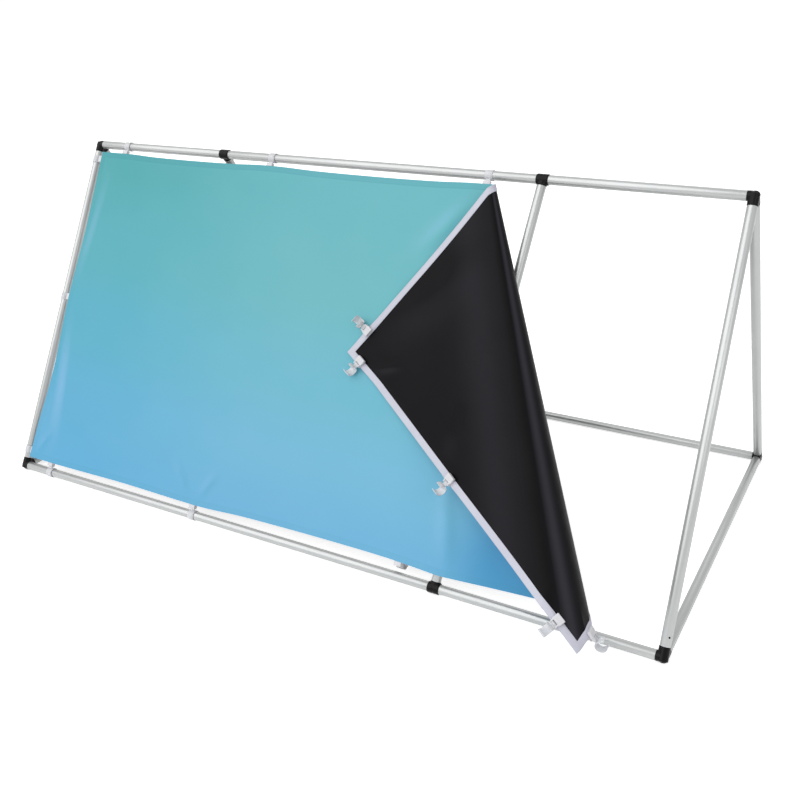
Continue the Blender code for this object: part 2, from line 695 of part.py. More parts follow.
def hinge_points(share):
    """Two points on a hinge line of the fold, its height given as a share of the roll's radius."""
    points = []
    for along in (0.0, FOLD_LENGTH):
        radius = roll_radius(along)
        reach = math.pi / 4 * radius
        place_s = FOLD_TOP + along * FOLD_ALONG[0] + reach * FOLD_ALONG[1]
        place_t = along * FOLD_ALONG[1] - reach * FOLD_ALONG[0]
        points.append(face_point(BANNER_LEFT_GAP + place_s, BANNER_TOP_GAP + place_t,
                                 CLOTH_STANDOFF + share * radius))
    return points


def put_origins(items, point):
    """Moves the origins of the objects to a point, without moving their shapes."""
    for item in items:
        item.data.transform(Matrix.Translation(-point) @ item.matrix_world)
        item.matrix_world = Matrix.Translation(point)


def add_clip(name, ring, jaw, frame, turn, stand, ring_material, jaw_material):
    """A clip's two pieces: the jaw on the hem, and the ring, with its origin on its pivot's axis."""
    pivot = Vector((0.0, PIVOT_Y, PIVOT_Z))
    copy = ring.copy()
    copy.transform(Matrix.Translation(-pivot))
    place = frame @ Matrix.Translation(pivot) @ Matrix.Rotation(turn, 4, "X")
    smooth(add_object(name + "_ring", copy, stand, ring_material, place))
    smooth(add_object(name + "_jaw", jaw.copy(), stand, jaw_material, frame))


def move_to_origin(collection):
    """Sets the whole stand so that the origin is under the middle of its box, on the floor."""
    graph = bpy.context.evaluated_depsgraph_get()
    graph.update()
    low = Vector((math.inf,) * 3)
    high = -low
    for item in collection.objects:
        shape = item.evaluated_get(graph)
        for vert in shape.to_mesh().vertices:
            point = item.matrix_world @ vert.co
            low = Vector(map(min, low, point))
            high = Vector(map(max, high, point))
        shape.to_mesh_clear()
    shift = Matrix.Translation((-(low.x + high.x) / 2, -(low.y + high.y) / 2, -low.z))
    for item in collection.objects:
        item.matrix_world = shift @ item.matrix_world
    return shift


def build_frame(stand, cutters):
    metal = new_material("satin_silver_tube", (0.66, 0.67, 0.68), 0.32, 0.9)
    plastic = new_material("black_fitting_plastic", (0.018, 0.018, 0.02), 0.38)
    joints = frame_joints()
    for name, (first, second) in TUBES.items():
        along = (joints[second] - joints[first]).normalized()
        start = joints[first] + along * (collar_reach(first, name) + SEAT_GAP)
        end = joints[second] - along * (collar_reach(second, name) + SEAT_GAP)
        add_tube(name, start, end, stand, metal)
    for name in joints:
        add_fitting(name, joints, stand, cutters, plastic)


def build_banner(stand):
    cloth = new_material("banner_cloth", (0.13, 0.47, 0.62), 0.55)
    tape = new_material("white_hem_tape", (0.72, 0.72, 0.84), 0.7)
    pieces = cloth_pieces()
    for name, piece in pieces.items():
        add_cloth("banner_" + name, piece, stand, cloth)
    for name, (piece, route) in hem_runs().items():
        add_tape(name, pieces[piece], route, stand, tape)


def clip_frames():
    """Frame of each clip, by name."""
    frames = {}
    for index, share in enumerate(TOP_CLIP_SHARES, 1):
        frames[f"top_clip_{index}"] = clip_frame("top", share * BANNER_WIDTH)
    for index, share in enumerate(LEFT_CLIP_SHARES, 1):
        frames[f"left_clip_{index}"] = clip_frame("left", share * BANNER_HEIGHT)
    for index, share in enumerate(BOTTOM_CLIP_SHARES, 1):
        frames[f"bottom_clip_{index}"] = clip_frame("bottom", share * BANNER_WIDTH)
    frames["loose_clip"] = clip_frame("bottom", LOOSE_CLIP_SHARE * BANNER_WIDTH)
    frames["fold_clip"] = clip_frame("bottom", facet=FOLD_CLIP_FACET)
    top_place = FLAP_TOP_CLIP_SHARE * BANNER_WIDTH
    frames["flap_clip_1"] = clip_frame("top", top_place, FLAP_TOP_CLIP_FACET)
    for index, share in enumerate(FLAP_SIDE_CLIP_SHARES, 2):
        frames[f"flap_clip_{index}"] = clip_frame("right", share * BANNER_HEIGHT)
    frames["flap_clip_4"] = clip_frame("right", facet=FLAP_LOW_CLIP_FACET)
    return frames


def build_clips(stand, cutters):
    white = new_material("white_clip_plastic", (0.8, 0.8, 0.8), 0.35)
    clear = new_material("frosted_ring_plastic", (0.62, 0.66, 0.68), 0.25, 0.0, 0.7)
    ring = ring_mesh(cutters)
    jaw = jaw_mesh(cutters)
    for name, frame in clip_frames().items():
        turn = LOOSE_RING_TURN if name == "loose_clip" else 0.0
        add_clip(name, ring, jaw, frame, turn, stand, clear, white)


def set_hinge_origins(stand):
    """Puts the origins of the pieces that turn with the cloth on their hinge lines."""
    for word, share in (("fold", 1.0 - math.pi / 4), ("flap", 1.0 + math.pi / 4)):
        near, far = hinge_points(share)
        items = [item for item in stand.objects if word in item.name and not item.name.endswith("_ring")]
        put_origins(items, (near + far) / 2)


clear_scene()
stand_parts = new_collection("banner_stand")
stand_cutters = new_collection("cutters")
build_frame(stand_parts, stand_cutters)
build_banner(stand_parts)
build_clips(stand_parts, stand_cutters)
set_hinge_origins(stand_parts)
origin_shift = move_to_origin(stand_parts)
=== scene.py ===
"""Looks of the triangular banner stand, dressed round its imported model.

Metres, +Z up, the banner faces -Y. Places on the cloth are s, along the banner from its left edge,
and t, down from its top edge, as they lie when the banner is flat.
"""

import json
import math

import bmesh
import bpy
from mathutils import Matrix, Vector


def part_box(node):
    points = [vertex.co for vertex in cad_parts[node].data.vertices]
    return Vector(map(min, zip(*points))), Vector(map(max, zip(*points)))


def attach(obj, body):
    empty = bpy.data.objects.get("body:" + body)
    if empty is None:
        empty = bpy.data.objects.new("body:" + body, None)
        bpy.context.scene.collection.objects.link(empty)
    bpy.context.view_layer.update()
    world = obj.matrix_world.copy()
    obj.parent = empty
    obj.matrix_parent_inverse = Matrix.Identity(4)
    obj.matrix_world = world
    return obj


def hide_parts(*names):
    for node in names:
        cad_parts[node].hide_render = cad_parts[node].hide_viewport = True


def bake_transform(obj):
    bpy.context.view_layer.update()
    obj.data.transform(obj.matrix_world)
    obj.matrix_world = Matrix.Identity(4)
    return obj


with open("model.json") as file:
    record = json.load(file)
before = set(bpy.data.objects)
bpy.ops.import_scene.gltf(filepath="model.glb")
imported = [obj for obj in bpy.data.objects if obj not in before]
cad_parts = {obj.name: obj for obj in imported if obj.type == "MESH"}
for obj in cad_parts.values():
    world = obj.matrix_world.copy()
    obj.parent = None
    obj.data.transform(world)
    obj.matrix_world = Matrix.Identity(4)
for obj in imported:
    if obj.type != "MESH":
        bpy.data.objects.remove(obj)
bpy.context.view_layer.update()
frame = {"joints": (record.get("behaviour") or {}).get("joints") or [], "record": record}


# Camera
# The photograph's viewpoint: in front of the right half of the stand and above its top rail,
# looking down and to the left. The lens and the shift give the photograph's own perspective.

CAMERA_PLACE = Vector((1.42393, -2.22203, 1.47447))
CAMERA_BEARING = -0.527909
CAMERA_PITCH = -0.400950
CAMERA_ROLL = -0.0384624
CAMERA_SHIFT = (-0.005235, -0.040473)
SENSOR_WIDTH = 36.0
PHOTO_WIDTH_PIXELS = 800
PHOTO_FOCAL_PIXELS = 977.762


def new_object(name, data):
    item = bpy.data.objects.new(name, data)
    bpy.context.scene.collection.objects.link(item)
    return item


look = Vector((math.sin(CAMERA_BEARING) * math.cos(CAMERA_PITCH),
               math.cos(CAMERA_BEARING) * math.cos(CAMERA_PITCH), math.sin(CAMERA_PITCH)))
level = Vector((math.cos(CAMERA_BEARING), -math.sin(CAMERA_BEARING), 0.0))
upright = level.cross(look)
camera_right = level * math.cos(CAMERA_ROLL) + upright * math.sin(CAMERA_ROLL)
camera_up = upright * math.cos(CAMERA_ROLL) - level * math.sin(CAMERA_ROLL)

camera_data = bpy.data.cameras.new("photo_camera")
camera_data.sensor_width = SENSOR_WIDTH
camera_data.lens = PHOTO_FOCAL_PIXELS * SENSOR_WIDTH / PHOTO_WIDTH_PIXELS
camera_data.shift_x, camera_data.shift_y = CAMERA_SHIFT
camera_data.clip_start = 0.05
camera_data.clip_end = 60.0
camera = new_object("photo_camera", camera_data)
camera.matrix_world = (Matrix.Translation(CAMERA_PLACE)
                       @ Matrix((camera_right, camera_up, -look)).transposed().to_4x4())
bpy.context.scene.camera = camera


# Studio
# A white room: a very wide soft light high on the left, a weaker lamp on the right and one behind,
# on a plain white floor. The camera, mirrors and glass see the room as plain white.

SKY_STRENGTH = 1.65
SKY_SPREAD = math.radians(70.0)
SKY_FROM = Vector((-0.42, -0.60, 0.68))
FILL_POWER = 16.0
BACK_POWER = 10.0
ROOM_LIGHT = 0.46
FLOOR_COLOR = (0.93, 0.93, 0.93, 1.0)
FLOOR_GLOW = 0.62
FLOOR_HALF = 40.0
FLOOR_DROP = 0.0004


def set_inputs(tree, item, inputs):
    """Sets the item's inputs to values, or links them to sockets."""
    for key, value in inputs.items():
        if isinstance(value, bpy.types.NodeSocket):
            tree.links.new(value, item.inputs[key])
        else:
            item.inputs[key].default_value = value


def node(tree, kind, inputs=None, **settings):
    """A new node of the tree, with its settings, and its inputs set or linked."""
    item = tree.nodes.new(kind)
    for key, value in settings.items():
        setattr(item, key, value)
    set_inputs(tree, item, inputs or {})
    return item


def calc(tree, operation, *values):
    """What a math node makes of the values."""
    return node(tree, "ShaderNodeMath", dict(enumerate(values)), operation=operation).outputs[0]


def rescaled(tree, value, low, high, new_low, new_high, **settings):
    """The value, with its range from low to high made the new range."""
    return node(tree, "ShaderNodeMapRange", {
        "Value": value, "From Min": low, "From Max": high, "To Min": new_low, "To Max": new_high},
        **settings).outputs[0]


def seen_directly(tree):
    """1 for rays from the camera, from mirrors and through glass, and 0 for those that light."""
    path = node(tree, "ShaderNodeLightPath").outputs
    mirror = calc(tree, "MAXIMUM", path["Is Camera Ray"], path["Is Glossy Ray"])
    return calc(tree, "MAXIMUM", mirror, path["Is Transmission Ray"])


bpy.context.scene.view_settings.view_transform = "Standard"
world = bpy.data.worlds.new("white_room")
world.use_nodes = True
world.node_tree.nodes.clear()
room = world.node_tree
room_light = rescaled(room, seen_directly(room), 0.0, 1.0, ROOM_LIGHT, 1.0)
background = node(room, "ShaderNodeBackground", {"Color": (1.0, 1.0, 1.0, 1.0), "Strength": room_light})
node(room, "ShaderNodeOutputWorld", {"Surface": background.outputs[0]})
bpy.context.scene.world = world


def soft_lamp(name, place, target, width, power):
    data = bpy.data.lights.new(name, "AREA")
    data.shape = "RECTANGLE"
    data.size = width
    data.size_y = width * 0.7
    data.energy = power
    aim = (Vector(target) - Vector(place)).to_track_quat("-Z", "Y").to_matrix().to_4x4()
    new_object(name, data).matrix_world = Matrix.Translation(place) @ aim


sky_data = bpy.data.lights.new("wide_key_light", "SUN")
sky_data.energy = SKY_STRENGTH
sky_data.angle = SKY_SPREAD
new_object("wide_key_light", sky_data).matrix_world = SKY_FROM.to_track_quat("Z", "Y").to_matrix().to_4x4()
soft_lamp("fill_lamp", (3.2, -1.8, 2.2), (0.2, 0.0, 0.4), 2.4, FILL_POWER)
soft_lamp("back_lamp", (0.4, 3.4, 2.8), (0.0, 0.2, 0.4), 2.6, BACK_POWER)

floor_material = bpy.data.materials.new("white_floor")
floor_material.use_nodes = True
floor_tree = floor_material.node_tree
floor_tree.nodes.clear()
matte = node(floor_tree, "ShaderNodeBsdfDiffuse", {"Color": FLOOR_COLOR})
glow = node(floor_tree, "ShaderNodeEmission", {
    "Strength": calc(floor_tree, "MULTIPLY", seen_directly(floor_tree), FLOOR_GLOW)})
both = node(floor_tree, "ShaderNodeAddShader", {0: matte.outputs[0], 1: glow.outputs[0]})
node(floor_tree, "ShaderNodeOutputMaterial", {"Surface": both.outputs[0]})


def object_from(name, shape, *materials):
    """An object with the shape as its mesh, which frees the shape."""
    mesh = bpy.data.meshes.new(name)
    shape.to_mesh(mesh)
    shape.free()
    for material in materials:
        mesh.materials.append(material)
    return new_object(name, mesh)


floor_shape = bmesh.new()
bmesh.ops.create_grid(floor_shape, x_segments=1, y_segments=1, size=FLOOR_HALF)
floor = object_from("studio_floor", floor_shape, floor_material)
floor.location.z = -FLOOR_DROP


# Lines of the frame
# The stand is a triangular prism: a top rail, a front rail and a back rail, with sloping struts
# between them. These are the axes of its tubes, which everything else is set out from.

TUBE_RADIUS = 0.0125
TUBE_AXIS_HEIGHT = 0.0145
FRAME_WIDTH = 2.044
FRAME_DEPTH = 1.038
FACE_SLANT = 1.058
TEE_TOP_PLACE = 0.7490 * FRAME_WIDTH
TEE_FOOT_PLACE = 0.7192 * FRAME_WIDTH

front_rail_low, front_rail_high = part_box("front_rail_left")
front_rail_y = (front_rail_low.y + front_rail_high.y) / 2
face_rise = math.sqrt(FACE_SLANT ** 2 - (FRAME_DEPTH / 2) ** 2)
RIGHT = Vector((1.0, 0.0, 0.0))
DOWN_FACE = Vector((0.0, -FRAME_DEPTH / 2, -face_rise)) / FACE_SLANT
FACE_OUT = DOWN_FACE.cross(RIGHT).normalized()
APEX_LEFT = Vector((-FRAME_WIDTH / 2, front_rail_y + FRAME_DEPTH / 2, TUBE_AXIS_HEIGHT + face_rise))


def face_point(along, down, out=0.0, back=False):
    """Point on the front face, or the back one, from the top left corner, seen from the front."""
    slope, outward = DOWN_FACE.copy(), FACE_OUT.copy()
    if back:
        slope.y, outward.y = -slope.y, -outward.y
    return APEX_LEFT + RIGHT * along + slope * down + outward * out


JOINTS = {
    "apex_corner_left": face_point(0.0, 0.0),
    "apex_corner_right": face_point(FRAME_WIDTH, 0.0),
    "front_corner_left": face_point(0.0, FACE_SLANT),
    "front_corner_right": face_point(FRAME_WIDTH, FACE_SLANT),
    "back_corner_left": face_point(0.0, FACE_SLANT, back=True),
    "back_corner_right": face_point(FRAME_WIDTH, FACE_SLANT, back=True),
    "top_front_tee": face_point(TEE_TOP_PLACE, 0.0),
    "front_rail_tee": face_point(TEE_FOOT_PLACE, FACE_SLANT),
    "top_back_tee": face_point(FRAME_WIDTH - TEE_TOP_PLACE, 0.0),
    "back_rail_tee": face_point(FRAME_WIDTH - TEE_FOOT_PLACE, FACE_SLANT, back=True),
}
TUBES = {
    "top_rail_left": ("apex_corner_left", "top_back_tee"),
    "top_rail_middle": ("top_back_tee", "top_front_tee"),
    "top_rail_right": ("top_front_tee", "apex_corner_right"),
    "front_rail_left": ("front_corner_left", "front_rail_tee"),
    "front_rail_right": ("front_rail_tee", "front_corner_right"),
    "back_rail_left": ("back_corner_left", "back_rail_tee"),
    "back_rail_right": ("back_rail_tee", "back_corner_right"),
    "front_strut_left": ("apex_corner_left", "front_corner_left"),
    "front_strut_right": ("apex_corner_right", "front_corner_right"),
    "back_strut_left": ("apex_corner_left", "back_corner_left"),
    "back_strut_right": ("apex_corner_right", "back_corner_right"),
    "base_tube_left": ("front_corner_left", "back_corner_left"),
    "base_tube_right": ("front_corner_right", "back_corner_right"),
    "front_middle_strut": ("top_front_tee", "front_rail_tee"),
    "back_middle_strut": ("top_back_tee", "back_rail_tee"),
}

# How far a fitting's collars reach from its centre, towards a rail and towards another tube
TEE_REACHES = (0.0158, 0.0166)
CORNER_REACHES = (0.0152, 0.0236)


def collar_reach(fitting, tube):
    """How far the fitting's collar reaches from its centre, towards the tube."""
    to_rail, to_other = TEE_REACHES if "tee" in fitting else CORNER_REACHES
    return to_rail if "rail" in tube else to_other


# Tubes
# Drawn aluminium tube, 25 mm across, with a satin silver finish that keeps fine lines along its
# length. Each is sawn square, its lip broken, and pushed over the pegs of the fittings.

TUBE_WALL = 0.0015
TUBE_SIDES = 40
TUBE_LIP = 0.0005
TUBE_SEAT_GAP = 0.0003


def new_material(name):
    """A material with an empty tree but for its shader, and the tree and the shader."""
    material = bpy.data.materials.new(name)
    material.use_nodes = True
    return material, material.node_tree, material.node_tree.nodes["Principled BSDF"]


def add_sockets(tree, way, sockets):
    for label, kind in sockets:
        tree.interface.new_socket(label, in_out=way, socket_type="NodeSocket" + kind)


def noise(tree, place, scale, detail=2.0):
    cloud = node(tree, "ShaderNodeTexNoise", {"Vector": place, "Scale": scale, "Detail": detail})
    return cloud.outputs["Fac"]


def mixed(tree, factor, low, high):
    """A colour between two others, each a socket or red, green and blue."""
    low, high = [color if isinstance(color, bpy.types.NodeSocket) else (*color, 1.0) for color in (low, high)]
    mix = node(tree, "ShaderNodeMix", {"Factor": factor, "A": low, "B": high}, data_type="RGBA")
    return mix.outputs["Result"]


# Fine grain, as a mask from 0 to 1 and as a bump, for metal, moulded plastic and thread alike
GRAIN_ROUGHNESS = 0.55
GRAIN_DEPTH = 0.0002
grain_group = bpy.data.node_groups.new("fine_grain", "ShaderNodeTree")
add_sockets(grain_group, "INPUT", (("Place", "Vector"), ("Scale", "Float"), ("Height", "Float")))
add_sockets(grain_group, "OUTPUT", (("Mask", "Float"), ("Normal", "Vector")))
grain_in = grain_group.nodes.new("NodeGroupInput").outputs
grain_noise = node(grain_group, "ShaderNodeTexNoise", {
    "Vector": grain_in["Place"], "Scale": grain_in["Scale"], "Detail": 3.0, "Roughness": GRAIN_ROUGHNESS})
grain_bump = node(grain_group, "ShaderNodeBump", {
    "Height": grain_noise.outputs["Fac"], "Strength": grain_in["Height"], "Distance": GRAIN_DEPTH})
node(grain_group, "NodeGroupOutput", {
    "Mask": grain_noise.outputs["Fac"], "Normal": grain_bump.outputs["Normal"]})


def add_grain(tree, place, scale, height):
    return node(tree, "ShaderNodeGroup", {"Place": place, "Scale": scale, "Height": height},
                node_tree=grain_group).outputs


tube_material, tube_tree, tube_shader = new_material("satin_silver_tube")
tube_place = node(tube_tree, "ShaderNodeAttribute", attribute_name="tube_place").outputs["Vector"]
draw_lines = node(tube_tree, "ShaderNodeMapping", {"Vector": tube_place, "Scale": (1.0, 1.0, 0.012)})
tube_grain = add_grain(tube_tree, draw_lines.outputs[0], 900.0, 0.18)
set_inputs(tube_tree, tube_shader, {
    "Base Color": mixed(tube_tree, noise(tube_tree, tube_place, 7.0), (0.42, 0.43, 0.43), (0.48, 0.49, 0.49)),
    "Roughness": rescaled(tube_tree, tube_grain["Mask"], 0.3, 0.7, 0.28, 0.38),
    "Metallic": 0.6, "Normal": tube_grain["Normal"]})


def geometry_tree(name, inputs):
    """A new geometry node tree with named inputs, and its input and output nodes."""
    tree = bpy.data.node_groups.new(name, "GeometryNodeTree")
    add_sockets(tree, "INPUT", (("Geometry", "Geometry"), *inputs, ("Material", "Material")))
    add_sockets(tree, "OUTPUT", (("Geometry", "Geometry"),))
    return tree, tree.nodes.new("NodeGroupInput").outputs, tree.nodes.new("NodeGroupOutput")


def applied(item):
    """The object with its modifiers applied to a plain mesh."""
    graph = bpy.context.evaluated_depsgraph_get()
    graph.update()
    mesh = bpy.data.meshes.new_from_object(item.evaluated_get(graph))
    item.modifiers.clear()
    item.data = mesh
    mesh.name = item.name
    return item


def grown(name, tree, values, seed_mesh=None):
    """An object made by the geometry tree with these input values, as a plain mesh."""
    item = new_object(name, seed_mesh or bpy.data.meshes.new(name))
    modifier = item.modifiers.new(name, "NODES")
    modifier.node_group = tree
    for socket in tree.interface.items_tree:
        if socket.item_type == "SOCKET" and socket.in_out == "INPUT" and socket.name in values:
            modifier[socket.identifier] = values[socket.name]
    return applied(item)


def end_tree(tree, geometry, material, output):
    """Ends a geometry tree with real, painted geometry."""
    real = node(tree, "GeometryNodeRealizeInstances", {"Geometry": geometry})
    painted = node(tree, "GeometryNodeSetMaterial", {"Geometry": real.outputs[0], "Material": material})
    tree.links.new(painted.outputs[0], output.inputs[0])


def vector_calc(tree, operation, inputs):
    """The vector that a vector math node makes of its inputs."""
    return node(tree, "ShaderNodeVectorMath", inputs, operation=operation).outputs["Vector"]


tube_maker, maker_in, maker_out = geometry_tree("drawn_tube", (
    ("Start", "Vector"), ("End", "Vector"), ("Radius", "Float"), ("Wall", "Float"), ("Lip", "Float"),
    ("Sides", "Int")))
run = vector_calc(tube_maker, "SUBTRACT", {0: maker_in["End"], 1: maker_in["Start"]})
run_length = node(tube_maker, "ShaderNodeVectorMath", {0: run}, operation="LENGTH")
half_wall = calc(tube_maker, "MULTIPLY", maker_in["Wall"], 0.5)
wall_ring = node(tube_maker, "GeometryNodeCurvePrimitiveCircle", {
    "Resolution": maker_in["Sides"], "Radius": calc(tube_maker, "SUBTRACT", maker_in["Radius"], half_wall)},
    mode="RADIUS")
wall_section = node(tube_maker, "GeometryNodeCurvePrimitiveQuadrilateral", {
    "Width": maker_in["Wall"], "Height": run_length.outputs["Value"]}, mode="RECTANGLE")
section_lip = node(tube_maker, "GeometryNodeFilletCurve", {
    "Curve": wall_section.outputs[0], "Radius": maker_in["Lip"], "Count": 2}, mode="POLY")
tube_shell = node(tube_maker, "GeometryNodeCurveToMesh", {
    "Curve": wall_ring.outputs[0], "Profile Curve": section_lip.outputs[0]})
made_at = node(tube_maker, "GeometryNodeInputPosition").outputs[0]
stored_place = node(tube_maker, "GeometryNodeStoreNamedAttribute", {
    "Geometry": tube_shell.outputs[0], "Name": "tube_place", "Value": made_at},
    data_type="FLOAT_VECTOR", domain="POINT")
both_ends = vector_calc(tube_maker, "ADD", {0: maker_in["Start"], 1: maker_in["End"]})
tube_centre = vector_calc(tube_maker, "SCALE", {0: both_ends, "Scale": 0.5})
tube_turn = node(tube_maker, "FunctionNodeAlignRotationToVector", {"Vector": run}, axis="Z")
tube_set = node(tube_maker, "GeometryNodeTransform", {
    "Geometry": stored_place.outputs[0], "Translation": tube_centre, "Rotation": tube_turn.outputs[0]})
end_tree(tube_maker, tube_set.outputs[0], maker_in["Material"], maker_out)


def smooth(item, angle=40.0):
    item.data.shade_smooth()
    item.data.set_sharp_from_angle(angle=math.radians(angle))
    return item


def finish_piece(item, body, slot, *nodes):
    if nodes:
        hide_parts(*nodes)
    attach(item, body)


def outward_faces(item):
    shape = bmesh.new()
    shape.from_mesh(item.data)
    bmesh.ops.remove_doubles(shape, verts=shape.verts, dist=1e-6)
    bmesh.ops.recalc_face_normals(shape, faces=shape.faces)
    shape.to_mesh(item.data)
    shape.free()
    return item


for tube_name, (first, second) in TUBES.items():
    tube_along = (JOINTS[second] - JOINTS[first]).normalized()
    tube = grown(tube_name + "_satin", tube_maker, {
        "Start": JOINTS[first] + tube_along * (collar_reach(first, tube_name) + TUBE_SEAT_GAP),
        "End": JOINTS[second] - tube_along * (collar_reach(second, tube_name) + TUBE_SEAT_GAP),
        "Radius": TUBE_RADIUS, "Wall": TUBE_WALL, "Lip": TUBE_LIP, "Sides": TUBE_SIDES,
        "Material": tube_material})
    finish_piece(smooth(outward_faces(tube)), "frame", "tube", tube_name)


# Fittings
# Black nylon corners and tees, each moulded in one piece: sleeves that butt against the tubes,
# almost flush with them, drawn together by soft fillets, and pegs inside the tubes.

FILLET_VOXEL = 0.0009
SLEEVE_RADIUS = 0.0132
TEE_SLEEVE_RADIUS = 0.0145
RAIL_SLEEVE_RADIUS = TUBE_RADIUS + 0.0002
SLEEVE_ROUNDING = 0.0012
SLEEVE_LIP = 0.0005
APEX_TAIL = 0.0072
FOOT_TAIL = 0.0095
PEG_SIDES = 24
PEG_PROFILE = ((0.0, 0.001), (0.0106, 0.001), (0.0106, 0.0585), (0.0096, 0.060), (0.0, 0.060))

fitting_material, fitting_tree, fitting_shader = new_material("black_moulded_plastic")
fitting_place = node(fitting_tree, "ShaderNodeTexCoord").outputs["Object"]
fitting_cloud = noise(fitting_tree, fitting_place, 45.0)
set_inputs(fitting_tree, fitting_shader, {
    "Base Color": mixed(fitting_tree, fitting_cloud, (0.0022, 0.0022, 0.0026), (0.0040, 0.0040, 0.0048)),
    "Roughness": rescaled(fitting_tree, fitting_cloud, 0.3, 0.7, 0.18, 0.26), "Specular IOR Level": 0.13,
    "Normal": add_grain(fitting_tree, fitting_place, 1400.0, 0.10)["Normal"]})


def along_axis(start, direction):
    return Matrix.Translation(start) @ direction.to_track_quat("Z", "Y").to_matrix().to_4x4()


def turned(shape, profile, sides, place):
    """Adds the solid that the profile, pairs of radius and height, makes when it is turned on Z."""
    rings = []
    for radius, height in profile:
        turns = [2 * math.pi * side / sides for side in range(sides if radius else 1)]
        places = [Vector((radius * math.cos(turn), radius * math.sin(turn), height)) for turn in turns]
        rings.append([shape.verts.new(place @ corner) for corner in places])
    for low, high in zip(rings, rings[1:]):
        for side in range(sides):
            following = (side + 1) % sides
            corners = [low[side % len(low)], low[following % len(low)],
                       high[following % len(high)], high[side % len(high)]]
            unique = [corner for index, corner in enumerate(corners) if corner not in corners[:index]]
            if len(unique) > 2:
                shape.faces.new(unique)


def add_shape(shape, extra):
    """Adds the other shape to the shape, and frees it."""
    mesh = bpy.data.meshes.new("extra")
    extra.to_mesh(mesh)
    extra.free()
    shape.from_mesh(mesh)
    bpy.data.meshes.remove(mesh)


def fitting_piece(name):
    """The fitting's outside, its joints melted together, with the pegs added as they are."""
    centre = JOINTS[name]
    outside, pegs = bmesh.new(), bmesh.new()
    for tube_name, ends in TUBES.items():
        if name not in ends:
            continue
        other = ends[1] if ends[0] == name else ends[0]
        place = along_axis(centre, (JOINTS[other] - centre).normalized())
        reach = collar_reach(name, tube_name)
        radius, tail = SLEEVE_RADIUS, 0.0
        if "rail" in tube_name:
            radius = TEE_SLEEVE_RADIUS if "tee" in name else RAIL_SLEEVE_RADIUS
        elif "apex" in name or "base" in tube_name:
            tail = -APEX_TAIL
        elif "corner" in name:
            tail = -FOOT_TAIL
        turned(outside, ((0.0, tail), (radius - SLEEVE_ROUNDING, tail), (radius, tail + SLEEVE_ROUNDING),
                         (radius, reach - SLEEVE_LIP), (radius - SLEEVE_LIP, reach), (0.0, reach)),
               TUBE_SIDES, place)
        turned(pegs, PEG_PROFILE, PEG_SIDES, place)
    item = object_from(name + "_moulded", outside)
    melt = item.modifiers.new("melt", "REMESH")
    melt.mode = "VOXEL"
    melt.voxel_size = FILLET_VOXEL
    melt.use_smooth_shade = True
    soften = item.modifiers.new("soften", "SMOOTH")
    soften.factor = 0.5
    soften.iterations = 4
    shape = bmesh.new()
    shape.from_mesh(applied(item).data)
    for vert in shape.verts:
        vert.co.z = max(vert.co.z, 0.0)
    add_shape(shape, pegs)
    shape.to_mesh(item.data)
    shape.free()
    item.data.materials.clear()
    item.data.materials.append(fitting_material)
    return smooth(item, 50.0)


for fitting_name in JOINTS:
    finish_piece(fitting_piece(fitting_name), "frame", "fitting", fitting_name)

# A dark rivet locks the foot of each front strut on its peg
RIVET_RADIUS = 0.0024
RIVET_PLACE = 0.046
rivets = bmesh.new()
for side, outward in (("left", -0.6), ("right", 0.6)):
    rivet_out = (FACE_OUT * 0.8 + RIGHT * outward).normalized()
    rivet_foot = JOINTS["front_corner_" + side] - DOWN_FACE * RIVET_PLACE + rivet_out * (TUBE_RADIUS - 0.0005)
    turned(rivets, ((0.0, 0.0), (RIVET_RADIUS, 0.0), (RIVET_RADIUS, 0.0007), (0.7 * RIVET_RADIUS, 0.0011),
                    (0.0, 0.0013)), 16, along_axis(rivet_foot, rivet_out))
bmesh.ops.recalc_face_normals(rivets, faces=rivets.faces)
finish_piece(smooth(object_from("strut_rivets", rivets, fitting_material)), "frame", "fitting")


# Banner cloth
# Coated banner cloth, printed in front with a plain gradient from teal to blue, and black behind.
# Its right-hand end is unclipped and rolled over on a slanting line, so that the back shows. It is
# one cloth, made here as two sheets that meet in the middle of the roll.

BANNER_WIDTH = 2.000
BANNER_HEIGHT = 1.000
BANNER_LEFT_GAP = 0.023
BANNER_TOP_GAP = 0.028
CLOTH_THICKNESS = 0.0009
CLOTH_STANDOFF = 0.017
FOLD_TOP = 0.6885 * BANNER_WIDTH
FOLD_FOOT = 0.8955 * BANNER_WIDTH
ROLL_RADIUS_TOP = 0.023114 * (BANNER_WIDTH - FOLD_TOP)
ROLL_RADIUS_FOOT = 0.364593 * (BANNER_WIDTH - FOLD_FOOT)
FLAP_DROP = math.radians(13.6)
FLAP_REST_GAP = 0.005
FLAP_KNEE = 0.014
FLAP_SAG_SLOPE = 0.2025
FLAP_BELLY = 0.25
FLAP_BELLY_MIDDLE = 0.660
FLAP_BELLY_HALF = 0.300
SEAM_TURN = math.radians(78.75)
CREASES = [math.radians(turn) for turn in (0.0, 22.5, 45.0, 67.5, 90.0, 112.5, 131.5, 150.5, 181.0, 193.6)]

